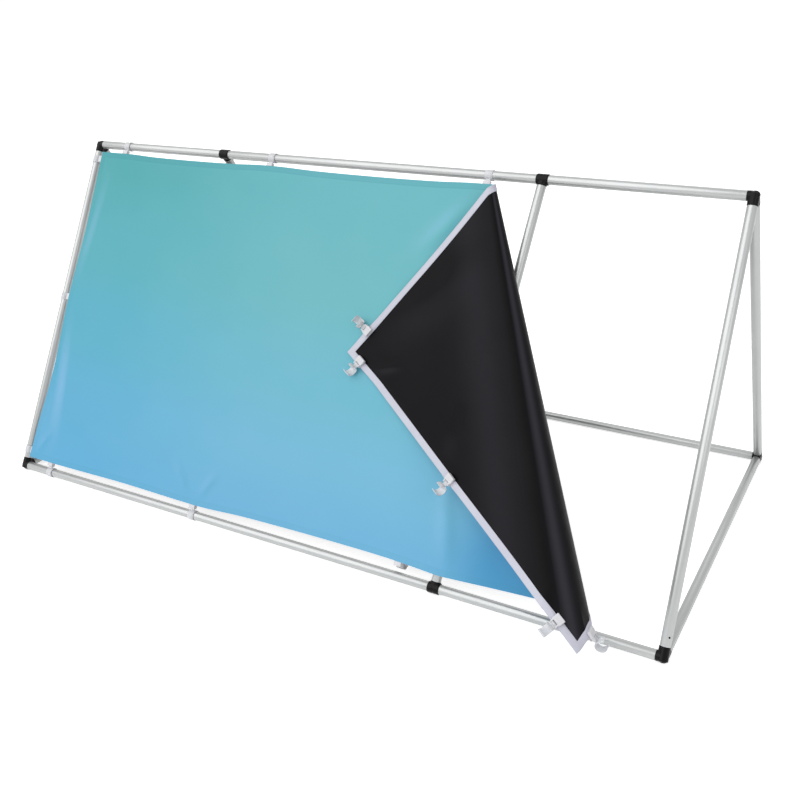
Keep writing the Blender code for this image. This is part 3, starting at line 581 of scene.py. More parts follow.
# Hang of the hems: shares of a hem's length, and how far the hem is drawn in there
BOTTOM_HEM_RISE = (
    (0.0, 0.0), (0.057, 0.0), (0.20, 0.003), (0.326, 0.0), (0.343, 0.0), (0.42, 0.0075), (0.515, 0.0115),
    (0.605, 0.0125), (0.65, 0.0117), (0.673, 0.0103), (0.705, 0.0066), (0.7275, 0.0042),
    (0.75, 0.0060), (0.7715, 0.0085), (0.80, 0.0120), (0.86, 0.0180), (0.90, 0.0195),
    (0.9628, 0.0180), (0.9804, 0.0115), (1.0, 0.003))
LEFT_HEM_DRAW = ((0.0, 0.0085), (0.20, 0.0085), (0.46, 0.007), (0.523, 0.007), (0.66, 0.005),
                 (0.80, 0.0), (0.88, -0.002), (0.95, 0.0), (1.0, 0.0))
TOP_HEM_SAG = ((0.0, 0.0), (0.057, 0.0), (0.12, 0.004), (0.20, 0.005), (0.27, 0.0035), (0.326, 0.0),
               (0.343, 0.0), (0.42, 0.0045), (0.515, 0.006), (0.605, 0.0045), (0.673, 0.0), (1.0, 0.0))
HEM_FADE = 0.200

fold_length = math.hypot(FOLD_FOOT - FOLD_TOP, BANNER_HEIGHT)
fold_s = (FOLD_FOOT - FOLD_TOP) / fold_length
fold_t = BANNER_HEIGHT / fold_length
roll_taper = (ROLL_RADIUS_FOOT - ROLL_RADIUS_TOP) / fold_length


def crease_s(turn, t):
    """s where the cone's ruling at that turn of the roll crosses the row t."""
    return FOLD_TOP + (turn * ROLL_RADIUS_TOP + t * (fold_s + turn * roll_taper * fold_t)) / (
        fold_t - turn * roll_taper * fold_s)


def crease_t(turn, s):
    """t where that ruling crosses the column s."""
    return ((s - FOLD_TOP) * (fold_t - turn * roll_taper * fold_s) - turn * ROLL_RADIUS_TOP) / (
        fold_s + turn * roll_taper * fold_t)


# Places of the stiff clips on the roll, where they hold the cloth flat
FOLD_CLIP_TURN = (CREASES[4] + CREASES[5]) / 2
LOW_CLIP_TURN = (CREASES[7] + CREASES[8]) / 2
FLAT_SPOTS = ((crease_s(FOLD_CLIP_TURN, BANNER_HEIGHT), BANNER_HEIGHT),
              (BANNER_WIDTH, crease_t(LOW_CLIP_TURN, BANNER_WIDTH)))
FLAT_SPOT_HALF = 0.030
FLAT_SPOT_EASE = 0.040


def ease(x):
    """0 to 1 along a smooth step."""
    x = min(max(x, 0.0), 1.0)
    return x * x * (3 - 2 * x)


def soft_floor(height):
    """The height, eased so that it never falls below the flap's rest gap."""
    x = (height - FLAP_REST_GAP) / FLAP_KNEE
    return FLAP_REST_GAP + FLAP_KNEE * (max(x, 0.0) + math.log1p(math.exp(-abs(x))))


def flatness(s, t):
    """1 where a clip holds the roll flat, and 0 away from the clips."""
    most = 0.0
    for spot_s, spot_t in FLAT_SPOTS:
        far = math.hypot(s - spot_s, t - spot_t)
        most = max(most, 1.0 - ease((far - FLAT_SPOT_HALF) / FLAT_SPOT_EASE))
    return most


def roll_profile(turn, flat):
    """Reach and lift of the roll at a turn of it, in roll radii: round, or creased where it is flat."""
    reach, lift = math.sin(turn), 1.0 - math.cos(turn)
    if flat > 0.0:
        low, high = next(((a, b) for a, b in zip(CREASES, CREASES[1:]) if turn <= b), CREASES[-2:])
        share = min((turn - low) / (high - low), 1.0)
        reach += flat * ((1 - share) * math.sin(low) + share * math.sin(high) - reach)
        lift += flat * (1 - (1 - share) * math.cos(low) - share * math.cos(high) - lift)
    return reach, lift


def drawn_in(table, share):
    """How far the hem is drawn in at a share of its length, along a soft curve through the pairs."""
    index = next((i for i, pair in enumerate(table[1:-1]) if share < pair[0]), len(table) - 2)
    low, start = table[index]
    high, end = table[index + 1]
    before, after = table[max(index - 1, 0)], table[min(index + 2, len(table) - 1)]
    leave = 0.0 if start in (before[1], end) else (end - before[1]) / (high - before[0]) * (high - low)
    arrive = 0.0 if end in (start, after[1]) else (after[1] - start) / (after[0] - low) * (high - low)
    x = (share - low) / (high - low)
    return (start * (2 * x ** 3 - 3 * x * x + 1) + leave * (x ** 3 - 2 * x * x + x)
            + end * (3 * x * x - 2 * x ** 3) + arrive * (x ** 3 - x * x))


# Folds that the clips pull into the cloth: the two ends of each, its half width and its height out of
# the printed side. The steps lower the cloth on their left, and the ridges stand out on both sides
STEPS = (((0.010, 0.48), (0.094, 1.000), 0.029, 0.0110), ((0.050, 0.02), (0.012, 0.48), 0.020, 0.0040))
RIDGES = (
    ((1.355, 0.020), (1.190, 0.230), 0.024, 0.0034), ((1.415, 0.740), (1.490, 1.020), 0.022, 0.0036),
    ((0.655, 0.990), (0.560, 0.870), 0.012, 0.0015), ((0.676, 0.990), (0.740, 0.880), 0.012, 0.0015),
    ((0.020, 0.990), (0.075, 0.890), 0.011, 0.0014), ((1.500, 0.120), (1.930, 0.050), 0.055, -0.0080),
    ((1.985, 0.090), (1.900, 0.160), 0.012, -0.0026), ((1.975, 0.440), (1.840, 0.360), 0.026, -0.0030))


def wrinkle(s, t):
    """How far the folds push the cloth out of its printed side."""
    height = 0.0
    for table, is_step in ((STEPS, True), (RIDGES, False)):
        for (start_s, start_t), (end_s, end_t), half, high in table:
            run_s, run_t = end_s - start_s, end_t - start_t
            length = math.hypot(run_s, run_t)
            share = ((s - start_s) * run_s + (t - start_t) * run_t) / length ** 2
            if 0.0 < share < 1.0:
                side = ((s - start_s) * run_t - (t - start_t) * run_s) / length / half
                profile = ease((side + 1.0) / 2) - 1.0 if is_step else math.exp(-side * side)
                height += high * profile * math.sin(math.pi * share) ** 2
    return height


def cloth_point(s, t):
    """Where the cloth point s, t lies, halfway through the cloth's thickness."""
    rise = drawn_in(BOTTOM_HEM_RISE, s / BANNER_WIDTH) * ease(1.0 - (BANNER_HEIGHT - t) / HEM_FADE)
    draw = drawn_in(LEFT_HEM_DRAW, t / BANNER_HEIGHT) * ease(1.0 - s / HEM_FADE)
    sag = drawn_in(TOP_HEM_SAG, s / BANNER_WIDTH) * ease(1.0 - t / HEM_FADE)
    along = (s + draw - FOLD_TOP) * fold_s + (t + sag) * fold_t
    across = (s + draw - FOLD_TOP) * fold_t - (t + sag) * fold_s
    turns = across / (ROLL_RADIUS_TOP + roll_taper * along)
    along -= rise
    radius = ROLL_RADIUS_TOP + roll_taper * along
    reach, lift, turn = across, 0.0, 0.0
    if across > 0.0:
        across = turns * radius
        turn = min(turns, math.pi + FLAP_DROP)
        reach, lift = [radius * share for share in roll_profile(turn, flatness(s, t))]
        free = across - radius * (math.pi + FLAP_DROP)
        if free > 0.0:
            top = lift
            reach -= free * math.cos(FLAP_DROP)
            lift = top + soft_floor(top - free * math.sin(FLAP_DROP)) - soft_floor(top)
            belly = 1.0 - ((along - FLAP_BELLY_MIDDLE) / FLAP_BELLY_HALF) ** 2
            along += FLAP_SAG_SLOPE * free * (1.0 + FLAP_BELLY * max(belly, 0.0))
    wave = wrinkle(s, t)
    reach -= math.sin(turn) * wave
    lift += math.cos(turn) * wave
    return face_point(BANNER_LEFT_GAP + FOLD_TOP + along * fold_s + reach * fold_t,
                      BANNER_TOP_GAP + along * fold_t - reach * fold_s, CLOTH_STANDOFF + lift)


def cloth_normal(s, t):
    """Unit normal of the banner's printed side."""
    step = 0.0005
    to_s = cloth_point(s + step, t) - cloth_point(s - step, t)
    to_t = cloth_point(s, t + step) - cloth_point(s, t - step)
    return to_t.cross(to_s).normalized()


def banner_material(name, color_of, rough_low, rough_high, gloss, waviness=0.25):
    """Coated cloth: its weave shows through the coat as a fine grid, and it is slightly uneven."""
    material, tree, shader = new_material(name)
    place = node(tree, "ShaderNodeUVMap", uv_map="cloth_place").outputs[0]
    threads = [node(tree, "ShaderNodeTexWave", {"Vector": place, "Scale": 260.0}, wave_type="BANDS",
                    bands_direction=way).outputs["Fac"] for way in ("X", "Y")]
    weave = calc(tree, "MULTIPLY", *threads)
    waves = noise(tree, place, 6.0, 3.0)
    weave_bump = node(tree, "ShaderNodeBump", {"Height": weave, "Strength": 0.10, "Distance": 0.0003})
    wave_bump = node(tree, "ShaderNodeBump", {"Height": waves, "Strength": waviness, "Distance": 0.010,
                                              "Normal": weave_bump.outputs[0]})
    set_inputs(tree, shader, {
        "Base Color": color_of(tree, place, weave), "Specular IOR Level": gloss,
        "Roughness": rescaled(tree, waves, 0.3, 0.7, rough_low, rough_high), "Normal": wave_bump.outputs[0]})
    return material


def color_ramp(tree, factor, stops):
    ramp = node(tree, "ShaderNodeValToRGB", {"Fac": factor})
    ramp.color_ramp.interpolation = "EASE"
    while len(ramp.color_ramp.elements) < len(stops):
        ramp.color_ramp.elements.new(0.5)
    for element, (place, color) in zip(ramp.color_ramp.elements, stops):
        element.position = place
        element.color = (*color, 1.0)
    return ramp.outputs["Color"]


def with_painted_fold_light(tree, color, pale, deep):
    """The colour with painted light on the folds' slopes that face up and left, and painted shade on the
    other ones.
    """
    painted_light = node(tree, "ShaderNodeAttribute", attribute_name="painted_light").outputs["Fac"]
    paler = mixed(tree, calc(tree, "MAXIMUM", painted_light, 0.0), color, pale)
    painted_shade_amount = calc(tree, "MAXIMUM", calc(tree, "MULTIPLY", painted_light, -1.0), 0.0)
    return mixed(tree, painted_shade_amount, paler, deep)


# The print's colours, from the top hem to the bottom one on the left and on the right, then the painted shade
# in the deep spot beside the fold's foot, the colour over the hems, and the painted light and painted shade
# on the folds' lit and shaded slopes
LEFT_PRINT = ((0.0, (0.063, 0.372, 0.398)), (0.30, (0.080, 0.402, 0.468)), (0.55, (0.086, 0.408, 0.548)),
              (0.80, (0.100, 0.405, 0.625)), (1.0, (0.100, 0.400, 0.650)))
RIGHT_PRINT = ((0.0, (0.122, 0.438, 0.490)), (0.35, (0.132, 0.445, 0.498)), (0.60, (0.140, 0.450, 0.572)),
               (0.80, (0.150, 0.448, 0.635)), (1.0, (0.138, 0.420, 0.655)))
FOLD_FOOT_PAINTED_SHADE = (0.035, 0.270, 0.520)
HEM_PRINT = (0.030, 0.250, 0.320)
LIT_PRINT = (0.270, 0.500, 0.760)
SHADED_PRINT = (0.040, 0.290, 0.400)

# The painted shade spot's middle, from the left edge and up from the bottom one, and how its form is scaled
SPOT_MIDDLE = (1.65, 0.065)
SPOT_SCALE = (4.2, 3.6, 1.0)
SPOT_STRENGTH = 0.85

# How dark the print looks over the tape behind the hems, and along the seam that holds the tape
HEM_SHADE = 0.22
SEAM_SHADE = 0.40
SEAM_INSET = 0.0158


def print_color(tree, place, weave):
    """Teal above, blue below, paler on the right, a deep blue spot of painted shade at the fold's foot,
    darker hems, and painted light and painted shade on the folds.
    """
    split = node(tree, "ShaderNodeSeparateXYZ", {"Vector": place}).outputs
    down = calc(tree, "SUBTRACT", BANNER_HEIGHT, split["Y"])
    across = rescaled(tree, split["X"], 0.10, 0.95, 0.0, 1.0, interpolation_type="SMOOTHSTEP")
    plain = mixed(tree, across, color_ramp(tree, down, LEFT_PRINT), color_ramp(tree, down, RIGHT_PRINT))
    # Painted shade: a deep blue spot where the cloth turns towards the roll at the fold's foot.
    spot_place = node(tree, "ShaderNodeMapping", {
        "Vector": place, "Location": (-SPOT_MIDDLE[0], -SPOT_MIDDLE[1], 0.0)})
    spot_size = node(tree, "ShaderNodeMapping", {"Vector": spot_place.outputs[0], "Scale": SPOT_SCALE})
    spot = node(tree, "ShaderNodeTexGradient", {"Vector": spot_size.outputs[0]}, gradient_type="SPHERICAL")
    painted_shade_spot = rescaled(tree, spot.outputs["Fac"], 0.0, 0.8, 0.0, SPOT_STRENGTH,
                         interpolation_type="SMOOTHSTEP")
    with_painted_shade = mixed(tree, painted_shade_spot, plain, FOLD_FOOT_PAINTED_SHADE)
    beside = calc(tree, "MINIMUM", split["X"], calc(tree, "SUBTRACT", BANNER_WIDTH, split["X"]))
    inward = calc(tree, "MINIMUM", beside, calc(tree, "MINIMUM", split["Y"], down))
    hem_band = rescaled(tree, inward, 0.0160, 0.0190, HEM_SHADE, 0.0)
    seam_line = calc(tree, "MULTIPLY", calc(tree, "COMPARE", inward, SEAM_INSET, 0.0008), SEAM_SHADE)
    shade = calc(tree, "MULTIPLY", calc(tree, "MAXIMUM", hem_band, seam_line),
                 rescaled(tree, down, 0.03, 0.10, 1.0, 0.3))
    return with_painted_fold_light(tree, mixed(tree, shade, with_painted_shade, HEM_PRINT), LIT_PRINT, SHADED_PRINT)


def back_color(tree, place, weave):
    # The black back with painted light and painted shade on the folds, and the painted sheen and shade bands
    # of the roll.
    return with_painted_fold_light(tree, mixed(tree, weave, (0.0024, 0.0023, 0.0033), (0.0046, 0.0044, 0.0060)),
                         (0.038, 0.037, 0.046), (0.001, 0.001, 0.0015))


def edge_color(tree, place, weave):
    return mixed(tree, weave, (0.45, 0.46, 0.50), (0.60, 0.61, 0.66))


cloth_materials = (banner_material("banner_print", print_color, 0.44, 0.54, 0.35),
                   banner_material("banner_black_back", back_color, 0.36, 0.46, 0.072, 0.6),
                   banner_material("banner_cut_edge", edge_color, 0.7, 0.8, 0.3))


# How much painted light and painted shade the folds' slopes put into the colour, across and down the banner,
# and the most they can
CREASE_LIGHT = (1.7, 0.9)
CREASE_MOST = 0.8
SLOPE_STEP = 0.002

# Bands of painted sheen and painted shade on the black back, each with its middle, its width and its
# strength: on the roll by degrees of turn, and on the flap by the distance from the roll
ROLL_BANDS = ((137.0, 13.0, 0.75), (168.0, 11.0, -0.9))
FLAP_BAND = (0.07, 0.06, 0.28)


def painted_roll_sheen(s, t):
    """How much paler or deeper the black back is painted, from the bands of painted sheen and painted shade.
    """
    along, across = (s - FOLD_TOP) * fold_s + t * fold_t, (s - FOLD_TOP) * fold_t - t * fold_s
    turns = math.degrees(max(across, 0.0) / (ROLL_RADIUS_TOP + roll_taper * along))
    free = across - (ROLL_RADIUS_TOP + roll_taper * along) * CREASES[-1]
    bands = [(turns, *band) for band in ROLL_BANDS] + [(free, *FLAP_BAND)]
    return sum(strength * math.exp(-((place - middle) / width) ** 2)
               for place, middle, width, strength in bands)


def cloth_sheet(name, rows, columns, place):
    """A thin closed sheet, from a grid of s, t places, with the print in front and black behind."""
    shape = bmesh.new()
    fronts, backs, normals, flats, painted_lights = [], [], [], [], []
    for row in range(rows + 1):
        fronts.append([])
        backs.append([])
        for column in range(columns + 1):
            s, t = place(column / columns, row / rows)
            middle, normal = cloth_point(s, t), cloth_normal(s, t)
            # The folds' slopes give painted light and painted shade: paler where they face up and left,
            # deeper elsewhere.
            slope = (CREASE_LIGHT[0] * (wrinkle(s + SLOPE_STEP, t) - wrinkle(s - SLOPE_STEP, t))
                     + CREASE_LIGHT[1] * (wrinkle(s, t + SLOPE_STEP) - wrinkle(s, t - SLOPE_STEP)))
            slope /= 2 * SLOPE_STEP
            for grid, side in ((fronts, 0.5), (backs, -0.5)):
                grid[-1].append(shape.verts.new(middle + normal * side * CLOTH_THICKNESS))
                normals.append(normal * side * 2)
                flats.append((s, BANNER_HEIGHT - t))
                # The black back also gets the bands of painted sheen and painted shade.
                shade = slope + painted_roll_sheen(s, t) if side < 0.0 else slope
                painted_lights.append(min(max(shade, -CREASE_MOST), CREASE_MOST))
    shape.verts.index_update()
    for grid, back in ((fronts, 0), (backs, 1)):
        for upper, lower in zip(grid, grid[1:]):
            for column in range(columns):
                corners = [upper[column], lower[column], lower[column + 1], upper[column + 1]]
                shape.faces.new(corners[::-1] if back else corners).material_index = back
    rim = [(row, 0) for row in range(rows)] + [(rows, column) for column in range(columns)]
    rim += [(row, columns) for row in range(rows, 0, -1)] + [(0, column) for column in range(columns, 0, -1)]
    for (row, column), (next_row, next_column) in zip(rim, rim[1:] + rim[:1]):
        shape.faces.new((fronts[next_row][next_column], fronts[row][column], backs[row][column],
                         backs[next_row][next_column])).material_index = 2
    uv = shape.loops.layers.uv.new("cloth_place")
    for face in shape.faces:
        for loop in face.loops:
            loop[uv].uv = flats[loop.vert.index]
    item = object_from(name, shape, *cloth_materials)
    mesh = item.data
    # The painted light and painted shade are kept on each point for the cloth's materials.
    mesh.attributes.new("painted_light", "FLOAT", "POINT").data.foreach_set("value", painted_lights)
    mesh.shade_smooth()
    mesh.normals_split_custom_set([
        face.normal if face.material_index == 2 else normals[mesh.loops[loop].vertex_index]
        for face in mesh.polygons for loop in face.loop_indices])
    return item


# How the sheets' grids are shared out: the share of the main sheet's columns on its flat part, and how
# much closer the flap sheet's columns are on the roll
MAIN_FLAT_SHARE = 0.86
FLAP_ROLL_DENSITY = 6
MAIN_GRID = (160, 220)
FLAP_GRID = (210, 150)


def main_place(across, down):
    """Places of the sheet that stays on the frame, and of the roll's first half."""
    t = down * BANNER_HEIGHT
    if across < MAIN_FLAT_SHARE:
        return crease_s(0.0, t) * across / MAIN_FLAT_SHARE, t
    return crease_s(SEAM_TURN * (across - MAIN_FLAT_SHARE) / (1 - MAIN_FLAT_SHARE), t), t


def flap_place(across, down):
    """Places of the roll's second half and of the flap, closer together on the roll."""
    t = down * BANNER_HEIGHT
    start = crease_s(SEAM_TURN, t)
    bend_end = min(crease_s(CREASES[-1], t), BANNER_WIDTH)
    bend_width, free_width = bend_end - start, BANNER_WIDTH - bend_end
    bend_share = FLAP_ROLL_DENSITY * bend_width / (FLAP_ROLL_DENSITY * bend_width + free_width)
    if across <= bend_share:
        return start + bend_width * across / bend_share, t
    return bend_end + free_width * (across - bend_share) / max(1 - bend_share, 1e-9), t


main_sheet = cloth_sheet("banner_sheet_main", *MAIN_GRID, main_place)
flap_sheet = cloth_sheet("banner_sheet_flap", *FLAP_GRID, flap_place)


# Hem tape
# White woven tape sewn round the back of the banner. It lies flat on the cloth, and stands off it
# where a clip's plate is pushed in between the two.

TAPE_WIDTH = 0.0175
TAPE_POCKET = 0.0143
TAPE_THICKNESS = 0.0009
TAPE_LOW = 0.0004
TAPE_HIGH = 0.0026
CLIP_REACH = 0.017
CLIP_EASE = 0.022
MITRE_STATIONS = 4

TOP_CLIP_PLACES = [share * BANNER_WIDTH for share in (0.0485, 0.3345, 0.6810, 0.9590)]
LEFT_CLIP_PLACES = [share * BANNER_HEIGHT for share in (0.023, 0.478, 0.979)]
BOTTOM_CLIP_PLACES = [share * BANNER_WIDTH for share in (0.0455, 0.3330, 0.6720)]
BOTTOM_CLIP_PLACES.append(FLAT_SPOTS[0][0])
SIDE_CLIP_PLACES = [share * BANNER_HEIGHT for share in (0.052, 0.4827)] + [FLAT_SPOTS[1][1]]


def hem_spot(edge, along, inward):
    """s and t of a place on a hem, from the distances along it and inward from its edge."""
    return {"top": (along, inward), "bottom": (along, BANNER_HEIGHT - inward),
            "left": (inward, along), "right": (BANNER_WIDTH - inward, along)}[edge]


def pocket_height(edge, along):
    """How far the tape stands off the cloth: low between the clips, high over their plates."""
    places = {"top": TOP_CLIP_PLACES, "bottom": BOTTOM_CLIP_PLACES, "left": LEFT_CLIP_PLACES,
              "right": SIDE_CLIP_PLACES}[edge]
    near = min(abs(along - place) for place in places)
    return TAPE_HIGH + (TAPE_LOW - TAPE_HIGH) * ease((near - CLIP_REACH) / CLIP_EASE)


def tape_section(height):
    """Outline of the tape across its width: inward from the hem's edge, and behind the cloth's middle."""
    skin = CLOTH_THICKNESS / 2
    under = skin + height
    over = under + TAPE_THICKNESS
    flat = skin + TAPE_THICKNESS
    return ((0.0002, skin), (0.0, skin + 0.3 * height), (0.0, over - 0.0003), (0.0004, over),
            (0.004, over + 0.0001), (0.010, over + 0.0001), (TAPE_POCKET - 0.001, over),
            (TAPE_POCKET + 0.0009, (over + flat) / 2), (TAPE_POCKET + 0.0019, flat),
            (TAPE_WIDTH - 0.0004, flat), (TAPE_WIDTH, flat - 0.0003), (TAPE_WIDTH, skin))


def close_rings(shape, rings):
    """Adds the faces between the rings of corners that follow each other, and one at each end."""
    for near, far in zip(rings, rings[1:]):
        for index in range(len(near)):
            following = (index + 1) % len(near)
            shape.faces.new((near[index], near[following], far[following], far[index]))
    shape.faces.new(rings[0])
    shape.faces.new(rings[-1][::-1])


def tape_run(shape, edge, stations, start_mitre, end_mitre):
    """Adds a run of tape. A mitred end is cut at 45 degrees, so that it meets the next run's end."""
    rings = []
    for index, along in enumerate(stations):
        near_start = max(0.0, 1.0 - index / MITRE_STATIONS)
        near_end = max(0.0, 1.0 - (len(stations) - 1 - index) / MITRE_STATIONS)
        fade = near_start * start_mitre + near_end * end_mitre
        ring = []
        for inward, depth in tape_section(pocket_height(edge, along)):
            s, t = hem_spot(edge, along + inward * fade, inward)
            ring.append(shape.verts.new(cloth_point(s, t) - cloth_normal(s, t) * depth))
        rings.append(ring)
    close_rings(shape, rings)


tape_material, tape_tree, tape_shader = new_material("white_woven_tape")
tape_coords = node(tape_tree, "ShaderNodeTexCoord").outputs["Object"]
tape_weave = node(tape_tree, "ShaderNodeTexVoronoi", {"Vector": tape_coords, "Scale": 620.0})
tape_bump = node(tape_tree, "ShaderNodeBump", {
    "Height": tape_weave.outputs["Distance"], "Strength": 0.35, "Distance": 0.0003})
set_inputs(tape_tree, tape_shader, {
    "Base Color": mixed(tape_tree, noise(tape_tree, tape_coords, 18.0, 4.0),
                        (0.53, 0.535, 0.62), (0.62, 0.625, 0.71)),
    "Roughness": 0.72, "Normal": tape_bump.outputs[0]})


def stations_between(start, end, step):
    count = max(2, round(abs(end - start) / step))
    return [start + (end - start) * index / count for index in range(count + 1)]


def tape_piece(name, runs):
    shape = bmesh.new()
    for edge, start, end, step, start_mitre, end_mitre in runs:
        tape_run(shape, edge, stations_between(start, end, step), start_mitre, end_mitre)
    bmesh.ops.recalc_face_normals(shape, faces=shape.faces)
    return smooth(object_from(name, shape, tape_material), 45.0)


seam_top, seam_bottom = crease_s(SEAM_TURN, 0.011), crease_s(SEAM_TURN, BANNER_HEIGHT - 0.011)
roll_top, roll_bottom = crease_s(0.0, 0.0), crease_s(0.0, BANNER_HEIGHT)
main_tape = tape_piece("hem_tape_sheet_main", (
    ("top", 0.0, roll_top, 0.010, 1.0, 0.0), ("top", roll_top, seam_top, 0.0012, 0.0, 0.0),
    ("left", 0.0, BANNER_HEIGHT, 0.010, 1.0, -1.0),
    ("bottom", 0.0, roll_bottom, 0.010, 1.0, 0.0), ("bottom", roll_bottom, seam_bottom, 0.003, 0.0, 0.0)))
flap_tape = tape_piece("hem_tape_sheet_flap", (
    ("top", seam_top, crease_s(CREASES[-1], 0.0), 0.0012, 0.0, 0.0),
    ("top", crease_s(CREASES[-1], 0.0), BANNER_WIDTH, 0.010, 0.0, -1.0),
    ("right", 0.0, BANNER_HEIGHT, 0.006, 1.0, -1.0),
    ("bottom", seam_bottom, BANNER_WIDTH, 0.003, 0.0, -1.0)))


# Hem stitches
# Two rows of white thread run along the tape, a few millimetres from its edges. Each stitch is a
# short plump loop of thread that lies half sunk in the tape.

STITCH_PITCH = 0.0045
STITCH_LENGTH = 0.0034
THREAD_RADIUS = 0.00035
STITCH_ROWS = (0.0022, 0.0158)
STITCH_SEAM_LAP = 0.012

def grained_material(name, scale, height, low, high, inputs, cloud=None):
    """A material with fine grain, its colour between two by the grain, or by clouds of another scale."""
    material, tree, shader = new_material(name)
    place = node(tree, "ShaderNodeTexCoord").outputs["Object"]
    grain = add_grain(tree, place, scale, height)
    change = noise(tree, place, cloud) if cloud else grain["Mask"]
    set_inputs(tree, shader, {
        "Base Color": mixed(tree, change, low, high), "Normal": grain["Normal"], **inputs})
    return material


thread_material = grained_material("white_thread", 2500.0, 0.3, (0.50, 0.51, 0.60), (0.66, 0.67, 0.74),
                                   {"Roughness": 0.6})

stitcher, stitch_in, stitch_out = geometry_tree("hem_stitches", (
    ("Stitch Length", "Float"), ("Thread Radius", "Float")))
stitch_points = node(stitcher, "GeometryNodeMeshToPoints", {"Mesh": stitch_in["Geometry"]})
stitch_along = node(stitcher, "GeometryNodeInputNamedAttribute", {"Name": "along"}, data_type="FLOAT_VECTOR")
stitch_turn = node(stitcher, "FunctionNodeAlignRotationToVector", {
    "Vector": stitch_along.outputs["Attribute"]}, axis="Z")
stitch_ball = node(stitcher, "GeometryNodeMeshIcoSphere", {"Radius": 1.0, "Subdivisions": 1})
stitch_size = node(stitcher, "ShaderNodeCombineXYZ", {
    "X": stitch_in["Thread Radius"], "Y": stitch_in["Thread Radius"],
    "Z": calc(stitcher, "MULTIPLY", stitch_in["Stitch Length"], 0.5)})
stitch_copies = node(stitcher, "GeometryNodeInstanceOnPoints", {
    "Points": stitch_points.outputs[0], "Instance": stitch_ball.outputs["Mesh"],
    "Rotation": stitch_turn.outputs[0], "Scale": stitch_size.outputs[0]})
end_tree(stitcher, stitch_copies.outputs[0], stitch_in["Material"], stitch_out)


def stitch_piece(name, runs):
    """Stitches along the two rows of each run, as one mesh."""
    places, directions = [], []
    for edge, start, end in runs:
        for inward in STITCH_ROWS:
            for along in stations_between(start + STITCH_ROWS[1], end - STITCH_ROWS[1], STITCH_PITCH):
                s, t = hem_spot(edge, along, inward)
                ahead_s, ahead_t = hem_spot(edge, along + 0.001, inward)
                height = pocket_height(edge, along) if inward < TAPE_POCKET else 0.0
                lift = CLOTH_THICKNESS / 2 + height + TAPE_THICKNESS
                places.append(cloth_point(s, t) - cloth_normal(s, t) * lift)
                directions.append((cloth_point(ahead_s, ahead_t) - cloth_point(s, t)).normalized())
    seed = bpy.data.meshes.new(name)
    seed.from_pydata([tuple(place) for place in places], [], [])
    along_hem = seed.attributes.new("along", "FLOAT_VECTOR", "POINT")
    for index, direction in enumerate(directions):
        along_hem.data[index].vector = direction
    stitches = grown(name, stitcher, {"Stitch Length": STITCH_LENGTH, "Thread Radius": THREAD_RADIUS,
                                      "Material": thread_material}, seed)
    return smooth(stitches, 80.0)


main_stitches = stitch_piece("hem_stitches_main", (
    ("top", 0.0, seam_top), ("left", 0.0, BANNER_HEIGHT), ("bottom", 0.0, seam_bottom)))
flap_stitches = stitch_piece("hem_stitches_flap", (
    ("top", seam_top - STITCH_SEAM_LAP, BANNER_WIDTH), ("right", 0.0, BANNER_HEIGHT),
    ("bottom", seam_bottom - STITCH_SEAM_LAP, BANNER_WIDTH)))


# The banner in place
# The cloth, its tape and its stitches keep the places they were made in, and the imported banner and
# tape are hidden.

fold_line_top = face_point(BANNER_LEFT_GAP + FOLD_TOP, BANNER_TOP_GAP, CLOTH_STANDOFF)


for piece in (main_sheet, main_tape, main_stitches):
    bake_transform(piece)
for piece in (flap_sheet, flap_tape, flap_stitches):
    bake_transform(piece)
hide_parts("banner_main", "banner_fold")
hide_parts("banner_flap")
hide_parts("hem_tape_main", "hem_tape_fold_top", "hem_tape_fold_bottom")
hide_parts("hem_tape_flap")


# Clips
# Two-piece clips of moulded plastic. A white jaw holds the hem's tape, its thin plate in the
# pocket, and a frosted, springy open ring hangs in the jaw's tongue and snaps onto a tube.

RING_BORE_RADIUS = 0.0130
RING_WALL = 0.0014
RING_WIDTH = 0.021
RING_MOUTH = math.radians(42.0)
RING_STEPS = 44
RING_FLARE = 0.0007
NECK_WIDTH = 0.012
PIVOT = Vector((0.0, 0.0215, 0.0075))
KNUCKLE_RADIUS = 0.0032
TRUNNION_RADIUS = 0.0012
JAW_WIDTH = 0.0245
JAW_START = 0.0262
JAW_END = 0.0440
JAW_BACK = 0.0035
JAW_TOP = 0.01255
GRIP_RIBS = 4
RIB_START = 0.0048
RIB_PITCH = 0.0028
RIB_INSET = 0.0045
RIB_HALF = 0.0008
TONGUE_HALF = 0.010
TONGUE_START = 0.0183
PLATE_END = 0.0355
LOOSE_RING_TURN = math.radians(78.0)

jaw_material = grained_material("white_moulded_plastic", 1600.0, 0.08, (0.64, 0.64, 0.67), (0.73, 0.73, 0.76),
                                {"Roughness": 0.34}, 60.0)
ring_material = grained_material("frosted_ring_plastic", 900.0, 0.15, (0.80, 0.81, 0.84), (0.86, 0.87, 0.90),
                                 {"Roughness": 0.5, "Transmission Weight": 0.25})


def rounded_block(shape, low, high, bevel, segments=3):
    """Adds a block with all its edges rounded."""
    block = bmesh.new()
    size, middle = Vector(high) - Vector(low), (Vector(high) + Vector(low)) / 2
    bmesh.ops.create_cube(block, size=1.0, matrix=Matrix.Translation(middle) @ Matrix.Diagonal((*size, 1.0)))
    bmesh.ops.bevel(block, geom=list(block.edges), offset=bevel, segments=segments, profile=0.6,
                    affect="EDGES")
    add_shape(shape, block)


